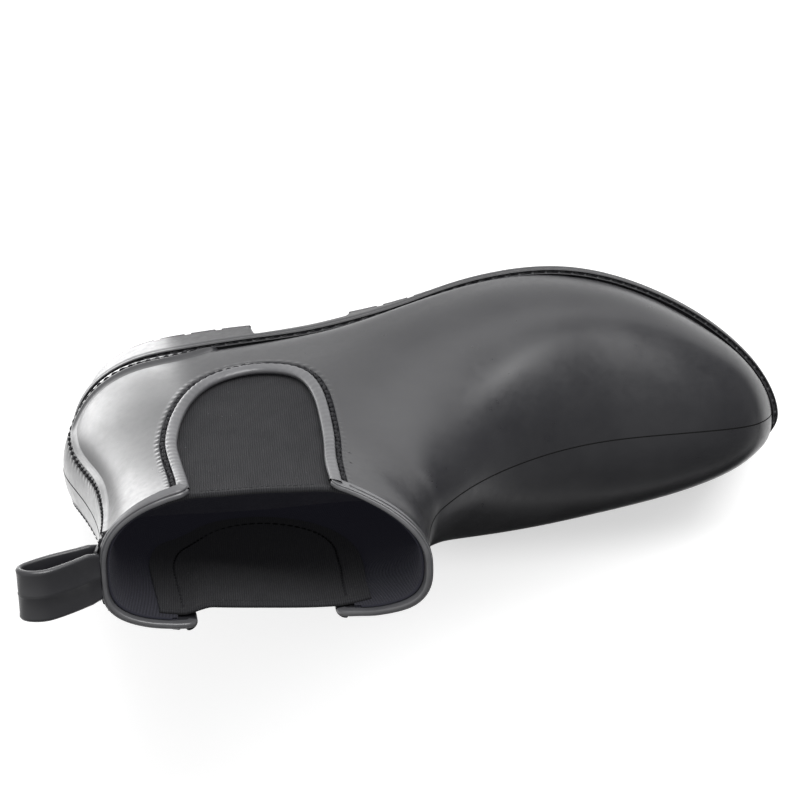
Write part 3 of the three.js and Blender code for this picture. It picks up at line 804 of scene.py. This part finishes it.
def add_beads(builder):
    """The bead along each lobe's rim, wider at the rear lobe's outer corner."""
    out, rise = Curve(BEAD_PROFILE, closed=True).dense(3)[:-1].T[..., None]
    for rear in (True, False):
        path, normal = rim_path(rear)
        first, second = frames(path, normal)
        wobble = 0.05 * ripple(lengths(path), 9.0, 2.0)[:, None, None]
        corner = smooth(path[:, 0], 18, REAR_CORNER - 3) * (path[:, 1] > 0) * rear
        wider = out + 0.9 * np.maximum(out, 0) * corner[:, None, None]
        rings = (path[:, None] + first[:, None] * wider
                 + facing(second, (0, 0, 1))[:, None] * (rise + wobble))
        # the bead takes the lighter rubber, mostly a painted highlight
        builder.tube(rings, finish=1)


def ridge(builder, path, normal, width, height, finish):
    """A thin moulded line standing on the surface along a path."""
    turn = np.linspace(0, np.pi, 7)
    profile = np.stack([np.sin(turn) * height, np.cos(turn) * width / 2], 1)
    profile = np.concatenate([profile, [[-0.25, -width / 2], [-0.25, width / 2]]])
    builder.tube(sweep(path, normal, profile), finish=finish)


def make_upper():
    """The rubber shell: its two skins, the closed tip of the toe, the collars, the beads and
    the parting line down the front."""
    builder = Builder()
    hole = widen(OPENING, COLLAR - 0.45)
    under_bead = 1.4
    outer = last_grid(0.0, 0.0, under_bead)
    builder.add_cut(outer, 0.0, hole, flip=True)
    builder.add_cut(last_grid(WALL, 0.0, under_bead), WALL, hole, flip=False)
    builder.add(np.concatenate([outer[0], outer[:1].mean(1)]), fan(COLUMNS, 0, COLUMNS))
    add_collars(builder)
    add_beads(builder)
    u = np.linspace(0.6, rim_row(0.0, np.array([np.pi]), 2.6)[0], 500)
    half = last(0.0).at(u)[:, 4]
    theta = np.pi - np.arcsin(np.clip(PARTING_ASIDE * (1 - smooth(u, 6, 15)) / half, 0, 0.5))
    path = on_last(0.0, u, theta)
    step = on_last(0.0, u, theta + 1e-3) - path
    normal = facing(unit(np.cross(np.gradient(path, axis=0), step)), (0, 0, 1))
    # the front parting line takes the near-black rubber, painted shade along the ridge
    ridge(builder, path, normal, width=0.5, height=0.1, finish=2)
    builder.make("upper_shell_rubber", "rubber_upper", "upper_shell", RUBBER, CUT_HIGHLIGHT_RUBBER, SEAM_SHADE_RUBBER)


# ---- heel counter

# Across the counter's border: distance behind its edge, height above the upper as a share of
# the overlay, and how much of the puckering it takes.
BORDER_PROFILE = [(-2.4, -0.2, 0), (-1.6, 0.04, 0), (-1.0, 0.18, 0), (-0.5, 0.42, 0),
                  (-0.15, 0.75, 0), (0.08, 1.02, 0), (0.25, 1.18, 0), (0.42, 1.22, 0),
                  (0.58, 1.14, 0), (0.7, 0.98, 0), (0.85, 0.92, 0), (1.2, 0.92, 0),
                  (1.6, 0.9, 0), (1.8, 0.78, 0), (2.1, 0.66, 0), (2.5, 0.66, 0), (2.8, 0.8, 0.4),
                  (2.95, 0.98, 1), (3.1, 1.05, 1), (3.5, 1.05, 1), (4.0, 1.02, 0.7),
                  (4.6, 1, 0.2), (5.2, 1, 0)]
BACK_COLUMNS = 60


def counter_edge(low, high):
    """The counter's edge in side view, from a height above the seat up to a height."""
    line = COUNTER[(COUNTER[:, 1] > seat(COUNTER[:, 0]) + 1.0) & (COUNTER[:, 1] < COUNTER_TOP)]
    line = resample(line, 0.4)
    return line[(line[:, 1] > seat(line[:, 0]) + low) & (line[:, 1] < high)]


def counter_places(line, offsets, side):
    """Row numbers and angles at distances behind the counter's edge, round the sections."""
    count, least_slant = 240, 0.6
    row, theta = side_place(0.0, *line.T, side)
    angles = (np.abs(theta) + 0.3)[:, None] * np.linspace(1, 0, count)
    points = on_last(0.0, row[:, None], side * angles)
    along = unit(np.gradient(on_last(0.0, row, theta), axis=0))
    found = np.zeros((len(line), len(offsets)))
    for i in range(len(line)):
        arc = lengths(points[i])
        start = np.interp(-abs(theta[i]), -angles[i], arc)
        k = int(np.clip(np.searchsorted(arc, start), 1, count - 2))
        way = unit(points[i, k + 1] - points[i, k - 1])
        slant = np.linalg.norm(np.cross(along[i], way))
        found[i] = np.interp(start + offsets / max(slant, least_slant), arc, angles[i])
    return row, side * found


def make_counter():
    """One skin from the left edge round the heel to the right edge, and the parting line."""
    builder = Builder()
    pucker_share, parting_rows = 0.16, (11.4, 16.4)
    line = counter_edge(0.0, COUNTER_TOP)
    behind, share, pucker = np.array(BORDER_PROFILE).T
    wave = ripple(lengths(line), COUNTER_PITCH, 3.0)[:, None]
    share = share + pucker * pucker_share * wave
    row, left = counter_places(line, behind, 1)
    _, right = counter_places(line, behind, -1)
    back = left[:, -1:] + (right - left)[:, -1:] * np.linspace(0, 1, BACK_COLUMNS + 2)[1:-1]
    theta = np.concatenate([left, back, right[:, ::-1]], 1)
    share = np.concatenate([share, np.ones_like(back), share[:, ::-1]], 1)
    base = on_last(0.0, row[:, None], theta)
    over = on_last(-OVERLAY, row[:, None], theta)
    skin = base + (over - base) * share[..., None]
    skin = np.concatenate([base[:1] * 1.2 - over[:1] * 0.2, skin])
    faces = grid_faces(*skin.shape[:2])
    shown = skin[..., 2].ravel() > seat(skin[..., 0].ravel()) + 0.6
    builder.add_used(skin, faces[shown[faces].any(1)])
    heel = on_last(-OVERLAY, np.linspace(*parting_rows, 300), 0.0)
    normal = unit(np.cross(np.gradient(heel, axis=0), [0, 1, 0]))
    # the heel's parting line takes the near-black rubber, painted shade along the ridge
    ridge(builder, heel, facing(normal, (-1, 0, 0)), width=0.5, height=0.12, finish=1)
    builder.make("heel_counter_rubber", "rubber_upper", "heel_counter", RUBBER, SEAM_SHADE_RUBBER)


def make_counter_stitching():
    """Black moulded stitches in the counter's channel, and bars from them to its lip."""
    line = counter_edge(3.2, 143)
    reach = np.array([0.75, 1.0, 1.3, 1.6, 1.85, 2.32])
    for name, side in SIDES:
        builder = Builder()
        row, theta = counter_places(line, reach, side)
        over = on_last(-OVERLAY, row[:, None], theta)
        normal = unit(over - on_last(0.0, row[:, None], theta))
        path = over[:, -1] + 0.02 * normal[:, -1]
        stitches(builder, path, normal[:, -1], COUNTER_PITCH, length=2.5, radius=0.62)
        along = lengths(path)
        bars = over[:, :-1] - 0.2 * normal[:, :-1]
        for centre in np.arange(COUNTER_PITCH, along[-1] - COUNTER_PITCH, COUNTER_PITCH):
            k = int(np.searchsorted(along, centre))
            stitches(builder, bars[k], normal[k, :-1], 1.0, length=1.1, radius=0.42)
        builder.make(f"{name}_counter_stitches", "thread", f"{name}_counter_stitching", THREAD)


# ---- side panels and their seams


def gore_sag(x, z, side):
    """How far the elastic in the opening lies in from its place behind the rubber, more so on
    the inner side."""
    across = smooth(x, 42, 60) * (1 - smooth(x, 80, 97))
    if side > 0:
        return 1.4 * across * smooth(z, 70, 140)
    return (0.4 + 2.6 * smooth(z, 80, 140)) * smooth(x, 41, 53) * np.clip((96 - x) / 45, 0, 1)


def make_gore(name, side):
    """The elastic panel: two faces a thickness apart, turned over in a hem at the top."""
    step = 0.9  # of the grid in side view that the panel is cut from
    x = np.arange(25, 115, step)
    z = np.arange(40, GORE_TOP + step / 2, step)
    grid = np.stack(np.meshgrid(x, z + GORE_TOP - z[-1]), -1)
    region = widen(OPENING, GORE_MARGIN)
    flat = grid.reshape(-1, 2)
    faces, moving = kept(grid_faces(*grid.shape[:2]), ~inside(region, flat))
    flat[moving] = nearest_on(region, flat[moving])
    flat[:, 1] = np.minimum(flat[:, 1], GORE_TOP)
    used, back = np.unique(faces, return_inverse=True)
    back, flat, count = back.reshape(faces.shape), flat[used], len(used)
    x, z = flat.T
    thick = GORE / 2 + 0.3 * smooth(z, GORE_TOP - 2.6, GORE_TOP - 2.2)
    middle = side_point(GORE_AT + GORE / 2, x, z, side)
    middle[:, 1] -= side * gore_sag(x, z, side)
    offset = side_normal(x, z, side, GORE_AT) * thick[:, None]
    edges = dict.fromkeys(e for face in back.tolist() for e in zip(face, face[1:] + face[:1]))
    a, b = np.array([edge for edge in edges if edge[::-1] not in edges]).T
    wall = np.stack([a, b, b + count, a + count], 1)
    faces = np.concatenate([back[:, ::-1], back + count, wall])
    builder = Builder()
    builder.add(np.concatenate([middle + offset, middle - offset]),
                faces if side > 0 else faces[:, ::-1], uv=np.tile(flat * MM, (2, 1)))
    piece = builder.make(f"{name}_gore_elastic", "elastic", f"{name}_gore", ELASTIC)


def make_gore_stitching():
    """The stitches round each opening, on the rubber and on the elastic inside, and across the
    elastic's hem."""
    line = widen(opening_edge(), STITCH_AT)
    line = resample(line[line[:, 1] < STITCH_TOP], 0.4)
    x = np.arange(50, 92, 0.5)
    z = np.full(x.shape, GORE_TOP - 2.9)
    for name, side in SIDES:
        builder = Builder()
        normal = side_normal(*line.T, side)
        outside = side_point(0.0, *line.T, side) - 0.36 * normal
        shown = line[:, 1] < (STITCH_TOP if side > 0 else GORE_TOP)
        stitches(builder, outside[shown], normal[shown], STITCH_PITCH, length=2.75,
                 radius=0.82, flat=0.85, wander=0.22)
        low = line[:, 1] < GORE_TOP - 3
        within = outside[low] - (GORE_AT + GORE - 0.2) * normal[low]
        stitches(builder, within, -normal[low], STITCH_PITCH, length=2.7, radius=0.42)
        hem = side_point(GORE_AT + GORE / 2, x, z, side)
        hem[:, 1] -= side * gore_sag(x, z, side)
        lean = side_normal(x, z, side, GORE_AT)
        for way in (1, -1):
            on_face = hem + way * (GORE / 2 + 0.05) * lean
            stitches(builder, on_face, way * lean, 1.9, length=1.5, radius=0.2)
        builder.make(f"{name}_gore_stitches", "thread", f"{name}_gore_stitching", THREAD)


# ---- sock and insole


def make_lining():
    """The knitted sock: two faces, joined by a turned hem under the rim's bead."""
    builder = Builder()
    hole = widen(OPENING, 6.5)
    rims = []
    for depth, drop, outside in ((LINING_AT, 2.6, True), (LINED_AT, 2.8, False)):
        grid = last_grid(depth, 0.6, drop)
        around = lengths(grid[-30])
        steps = np.linalg.norm(np.diff(grid, axis=0), axis=2)
        up = np.concatenate([np.zeros((1, COLUMNS)), np.cumsum(steps, 0)])
        uv = np.stack([np.broadcast_to(around, up.shape), up], -1) * MM
        builder.add_cut(grid, depth, hole, outside, uv)
        rims.append(grid[-1])
    outer, inner = rims
    turn = [outer * (1 - share) + inner * share + [0, 0, 0.3] for share in (0.25, 0.75)]
    x = outer[:, 0]
    closed = (x <= REAR_CORNER - 8) | (x >= FRONT_CORNER + 8)
    faces = grid_faces(4, COLUMNS, True)
    faces = faces[closed[faces % COLUMNS].all(1)][:, ::-1]
    builder.add_used(np.stack([outer, *turn, inner]), faces)
    builder.make("lining_knit", "knit_lining", "lining", KNIT)


def make_footbed():
    """The foam insole: a thin crowned pad that fills the bottom of the sock."""
    crown, round_end, half_turn = 3.6, 0.35, np.radians(52)
    rows = np.linspace(1.3, 11.2, 150)[:, None]
    share = np.linspace(-1, 1, 41)
    bottom = on_last(FOOTBED_AT, rows, half_turn * share)
    ends = np.minimum(1, np.minimum(rows - rows[0], rows[-1] - rows) / round_end)
    rise = crown * (1 - share**6) ** 0.5 * np.sqrt(1 - (1 - ends) ** 2)
    top = bottom.copy()
    top[..., 2] = np.maximum(bottom[..., 2], seat(bottom[..., 0]) + FOOTBED_AT) + rise
    builder = Builder()
    builder.tube(np.concatenate([top, bottom[:, ::-1]], 1))
    piece = builder.make("footbed_foam", "foam", "footbed", FOAM)


# ---- welt and sole

WELT_PLAN = resample(np.concatenate([PLAN, PLAN[:1]]), 0.66)[:-1]


def inset_plan(points, inset):
    """A closed plan moved in, which is to its right."""
    return points + inset * right_of(np.roll(points, -1, 0) - np.roll(points, 1, 0))


# Round the welt's section: distance in from its edge and height above the seat line.
WELT_PROFILE = [(0.35, -2.2), (0.06, -1.95), (0.0, -1.5), (0.0, 0.35), (0.07, 0.48), (0.07, 0.6),
                (0.0, 0.75), (0.0, 1.55), (0.08, 1.9), (0.22, 2.14), (0.38, 2.2), (0.5, 2.1),
                (0.56, 1.8), (0.62, 1.25), (0.85, 1.05), (1.15, 1.0), (1.45, 1.05), (1.62, 1.3),
                (1.68, 1.75), (1.76, 2.12), (1.9, 2.22), (2.05, 2.14), (2.14, 1.8), (2.2, 1.0),
                (2.35, 0.6), (3, 0.5), (6, 0.5), (8, 0.4), (8.4, -1), (8, -2.2), (4, -2.2)]


def make_welt():
    """The welt, with a groove that is bridged between its stitches."""
    builder = Builder()
    t = lengths(WELT_PLAN)
    bridge = 0.5 + 0.5 * np.cos(2 * np.pi * t / (t[-1] / round(t[-1] / WELT_PITCH)))
    rings = []
    for inset, height in WELT_PROFILE:
        z = seat(WELT_PLAN[:, 0]) + height
        if 0.6 < inset < 1.65 and height > 0:
            z = z + (2.1 - height) * bridge**16
        rings.append(np.column_stack([inset_plan(WELT_PLAN, inset), z]))
    rows, columns = len(WELT_PLAN), len(rings)
    builder.add(np.stack(rings, 1), grid_faces(rows + 1, columns, True) % (rows * columns))
    builder.make("welt_rubber", "rubber_sole", "welt", SOLE)


def make_welt_stitching():
    """A row of stitches all round the welt's groove."""
    builder = Builder()
    at = inset_plan(WELT_PLAN, GROOVE_AT)
    stitch_rise = 1.35  # above the seat line
    path = np.column_stack([at, seat(at[:, 0]) + stitch_rise])
    path = np.concatenate([path, path[:1]])
    total = lengths(path)[-1]
    up = np.tile([0.0, 0.0, 1.0], (len(path), 1))
    pitch = total / round(total / WELT_PITCH)
    stitches(builder, path, up, pitch, length=4.2, radius=0.42, flat=0.85)
    builder.make("welt_stitches", "thread", "welt_stitching", THREAD)


def ground(x):
    """Height of the lugs' underside, which rises under the toe."""
    spring, start, run = 8.5, 222, 57
    return spring * (np.maximum(0, x - start) / run) ** 2


def plate_underside(x):
    """Height of the sole's underside above the lugs, arched between the heel and the forefoot."""
    waist = np.interp(x, (HEEL_FRONT, FORE_BACK), WAIST)
    in_waist = smooth(x, HEEL_FRONT - 0.6, HEEL_FRONT + 1.4) * (
        1 - smooth(x, FORE_BACK - 1.4, FORE_BACK + 0.6))
    return (ground(x) + TREAD_DEPTH) * (1 - in_waist) + waist * in_waist


def flange(x):
    """Height of the sole's top edge, close under the welt."""
    return seat(x) - WELT_DOWN - 0.3


def plan_sides(inset):
    """The inset plan's two ends in x, and its left and right y as functions of x."""
    moved = inset_plan(PLAN, inset)
    moved = np.roll(moved, -moved[:, 0].argmin(), 0)
    tip = moved[:, 0].argmax()
    lines = (moved[: tip + 1], np.concatenate([moved[tip:], moved[:1]])[::-1])
    sides = [lambda x, line=line: np.interp(x, *line.T) for line in lines]
    return moved[0, 0], moved[tip, 0], sides


def plate(builder, levels, count, start=None, end=None, across=6):
    """A plate under the plan. Each level is (inset, height as a function of x, rise above it,
    shortening of the ends); start and end cut the plate off square."""
    share = (1 - np.cos(np.linspace(0, np.pi, count))) / 2
    left, right = [], []
    for inset, height, rise, shorter in levels:
        x0, x1, sides = plan_sides(inset)
        x0 = x0 if start is None else max(x0, start + shorter)
        x1 = x1 if end is None else min(x1, end - shorter)
        x = x0 + (x1 - x0) * share
        for lines, side in zip((left, right), sides):
            lines.append(np.stack([x, side(x), height(x) + rise], 1))
    shares = np.arange(1, across) / across
    over = [left[-1] * (1 - f) + right[-1] * f for f in shares]
    under = [right[0] * (1 - f) + left[0] * f for f in shares]
    builder.tube(np.stack([*left, *over, *right[::-1], *under], 1))


def lug_spans():
    """Where each lug starts and ends in x; None stands for the plan's own end."""
    spans = []
    for start, end, first, stop in ((None, HEEL_FRONT, FIRST_GROOVE, HEEL_FRONT - 6),
                                    (FORE_BACK, None, FORE_BACK + LUG_PITCH, 268)):
        for x in np.arange(first, stop, LUG_PITCH):
            spans.append((start, x - LUG_GAP / 2))
            start = x + LUG_GAP / 2
        spans.append((start, end))
    return spans


def make_outsole():
    """The sole's body and its lugs, each a plate with softened lower edges."""
    builder = Builder()
    body = [(5.2, plate_underside, 0, 0), (4.6, plate_underside, 0.25, 0),
            (4.2, plate_underside, 0.9, 0), (2.7, flange, -1.5, 0), (2.3, flange, -0.8, 0),
            (2.2, flange, 0, 0)]
    lug = [(6.2, ground, 0, 0.9), (5.4, ground, 0.14, 0.35), (5.0, ground, 0.6, 0.1),
           (4.7, ground, 2, 0), (4.3, ground, TREAD_DEPTH + 0.6, -0.2)]
    plate(builder, body, count=420)
    for start, end in lug_spans():
        plate(builder, lug, 90 if start is None or end is None else 16, start, end)
    builder.make("outsole_rubber", "rubber_sole", "outsole", SOLE)


# ---- pull loop


def make_pull_loop():
    """The strap: one ribbon round the loop with soft edges and a thin moulded line."""
    line = resample(Curve(STRAP_LINE).dense(), 0.5)
    half, thick = STRAP_WIDTH / 2, STRAP_THICK / 2
    profile = [(thick, 0), (thick + 0.14, 0.25), (thick, 0.55), (thick, half * 0.5),
               (thick, half - 2.4), (thick + 0.1, half - 1.7), (thick + 0.16, half - 0.9),
               (thick * 0.75, half - 0.25), (0, half), (-thick * 0.75, half - 0.25),
               (-thick, half - 0.9), (-thick, half * 0.5)]
    mirrored = [(a, -b) for a, b in profile[1:] if b > 0]
    section = np.array(profile[1:] + [(-thick, 0)] + mirrored[::-1] + profile[:1])
    path = np.insert(line, 1, 0, axis=1)
    outward = np.insert(right_of(np.gradient(line, axis=0)), 1, 0, axis=1)
    rings = sweep(path, facing(outward, path - path.mean(0)), section)
    along = lengths(path)
    narrowing, end_length = 0.1, 4.0  # of the strap's width, at each end
    ends = np.minimum(1, np.minimum(along, along[-1] - along) / end_length)
    rings[..., 1] *= (1 - narrowing + narrowing * ends)[:, None]
    builder = Builder()
    builder.tube(rings)
    piece = builder.make("pull_loop_strap", "rubber_upper", "pull_loop", RUBBER, body=None)
    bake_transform(piece)


def make_pull_pad():
    """The pad at the loop's root, a soft-edged swelling of the backstay."""
    half_y, low, high, swell = STRAP_WIDTH / 2 + 0.4, 140.5, 150.3, 1.3
    z = np.linspace(low, high, 40)
    share = np.linspace(-1, 1, 50)
    theta = np.linspace(-1.4, 1.4, 1401)
    points = []
    for height in z:
        row = bisect(lambda row: on_last(-OVERLAY, row, theta)[:, 2] < height, theta.shape,
                     13.0, TOP_ROW, 24)
        level = on_last(-OVERLAY, row, theta)
        points.append(between(share * half_y, level[:, 1], level))
    points = np.array(points)
    normal = unit(np.cross(np.gradient(points, axis=0), np.gradient(points, axis=1)))
    near_y = smooth(1 - np.abs(share), 0, 0.22)
    near_z = smooth(z - low, 0, 4.5) * smooth(high - z, 0, 1.2)
    rise = near_z[:, None] * near_y * swell - 0.3
    top = points + facing(normal, (-1, 0, 0)) * rise[..., None]
    flip = np.cross(top[1, 0] - top[0, 0], top[0, 1] - top[0, 0])[0] < 0
    builder = Builder()
    builder.grid(top, flip)
    builder.make("pull_loop_pad", "rubber_upper", "pull_loop_base", RUBBER)


# ---- stage, light and camera


WHITE = (1, 1, 1, 1)


def falloff(coordinate, middle, half, soft):
    """1 within half of the middle and 0 beyond soft from there, along one coordinate."""
    away = (coordinate + -middle).math("ABSOLUTE")
    return away.remap(half, half + soft, 1, 0, "SMOOTHSTEP")


# Cards round the boot, as its gloss mirrors them on the floor: middle, half size and soft border
# in x and in y, in mm, and how much a grey one adds to the floor's light.
GREY_CARDS = [(-138, 38, 10, 38, 14, 20, 5.2), (-216, 30, 10, 46, 10, 10, 5.2),
              (-198, 16, 12, 14, 12, 10, -0.35), (-172, 70, 48, 125, 45, 35, 0.5),
              (-180, 40, 30, -45, 20, 22, 1.0), (90, 120, 60, 245, 60, 45, 0.9),
              (0, 90, 50, 95, 20, 40, -0.35)]
BLACK_CARDS = [(600, 330, 80, 200, 270, 120), (200, 260, 60, -420, 170, 50),
               (140, 140, 50, -185, 95, 35)]


def patch(x, y, middle_x, half_x, soft_x, middle_y, half_y, soft_y):
    """1 on a rectangle of the floor, and 0 beyond its soft border, in mm."""
    return falloff(x, middle_x, half_x, soft_x) * falloff(y, middle_y, half_y, soft_y)


def make_floor():
    """A wide white floor, lit from inside. Its glow is lowered round the boot, a broad painted
    shade that lets faint shadows show, and lowered more under the overhang of its inner side, a
    painted shadow.
    What the rubber's gloss mirrors in it also has light and dark cards."""
    size = 6.0
    mesh = bpy.data.meshes.new("floor")
    mesh.from_pydata([(-size, -size, 0), (size, -size, 0), (size, size, 0), (-size, size, 0)],
                     [], [(0, 1, 2, 3)])
    material, tree = new_material("white_floor")
    x, y = object_point(tree).plane()
    # painted shade: the floor's glow is lowered round the boot
    near = patch(x, y, 0, 240, 300, 0, 200, 300)
    # painted shadow: the floor's glow is lowered under the overhang of the boot's inner side, as
    # the camera sees it
    under = patch(x, y, 70, 40, 60, -49, 15, 22)
    seen = near * -0.1 + 0.56 + under * -0.2
    mirrored = 0.5
    for *card, extra in GREY_CARDS:
        mirrored = patch(x, y, *card) * extra + mirrored
    bare = 1.0
    for card in BLACK_CARDS:
        bare = (patch(x, y, *card) * -1 + 1) * bare
    mirrored = mirrored.math("MAXIMUM") * bare
    camera_ray = node(tree, "ShaderNodeLightPath", {}, "Is Camera Ray")
    white = bare.math("MAXIMUM", camera_ray)
    level = node(tree, "ShaderNodeMix", {0: camera_ray, 2: mirrored, 3: seen}, data_type="FLOAT")
    dress(tree, {"Base Color": white.colour([0.02] * 3, [0.8] * 3), "Roughness": 1,
                 "Specular IOR Level": 0, "Emission Color": WHITE, "Emission Strength": level})
    mesh.materials.append(material)
    add_object("floor", mesh)


def make_light():
    """A large soft box on the outer side, and a white studio that is brighter behind the heel
    and darker on the inner side."""
    data = bpy.data.lights.new("outer_softbox", "AREA")
    data.shape = "RECTANGLE"
    data.size, data.size_y = 1.0, 0.75
    data.energy = 21
    light = add_object("outer_softbox", data)
    light.location = (0.2, 0.97, 0.64)
    target = Vector((0.05, 0, 0.06))
    light.rotation_mode = "QUATERNION"
    light.rotation_quaternion = (target - light.location).to_track_quat("-Z", "Y")
    world = bpy.data.worlds.new("studio")
    bpy.context.scene.world = world
    world.use_nodes = True
    tree = world.node_tree
    x, y = node(tree, "ShaderNodeTexCoord", {}, "Generated").plane()
    strength = y.remap(-0.75, -0.2, 0.35, 0.85) * x.remap(-0.9, 0.95, 1.4, 0.35)
    lit = tree.nodes["Background"]
    feed(lit.inputs["Color"], WHITE)
    feed(lit.inputs["Strength"], strength)
    seen = node(tree, "ShaderNodeBackground", {"Color": WHITE, "Strength": 1})
    camera_ray = node(tree, "ShaderNodeLightPath", {}, "Is Camera Ray")
    mix = node(tree, "ShaderNodeMixShader", {0: camera_ray, 1: Value(lit.outputs[0]), 2: seen})
    feed(tree.nodes["World Output"].inputs[0], mix)
    bpy.context.scene.view_settings.view_transform = "Standard"
    bpy.context.scene.view_settings.look = "None"


def make_camera():
    """The camera looks down past the mouth on to the outer side."""
    down, turn, roll = math.radians(21.5), math.radians(4.4), math.radians(-3.5)
    far, focal_length = 1000.0, 115.7
    target = Vector((135.0, 0.0, 30.0))
    aside = (6.5, -9.1)
    back = Vector((-math.sin(turn) * math.cos(down), math.sin(down),
                   math.cos(turn) * math.cos(down)))
    right = (Vector((1, 0, 0)) - back * back.x).normalized()
    up = back.cross(right)
    tilted_right = right * math.cos(roll) + up * math.sin(roll)
    tilted_up = up * math.cos(roll) - right * math.sin(roll)
    place_mm = target - tilted_right * aside[0] - tilted_up * aside[1] + back * far
    data = bpy.data.cameras.new("camera")
    data.sensor_width = 36.0
    data.lens = focal_length
    data.clip_start, data.clip_end = 0.05, 50
    camera = add_object("camera", data)
    camera.matrix_world = Matrix.Translation(place_mm * MM + SHIFT) @ Matrix(
        (tilted_right, tilted_up, back)).transposed().to_4x4()
    bpy.context.scene.camera = camera


# ---- the boot

make_camera()
make_light()
make_floor()
make_upper()
make_counter()
make_counter_stitching()
for side_name, side_sign in SIDES:
    make_gore(side_name, side_sign)
make_gore_stitching()
make_lining()
make_footbed()
make_welt()
make_welt_stitching()
make_outsole()
make_pull_loop()
make_pull_pad()
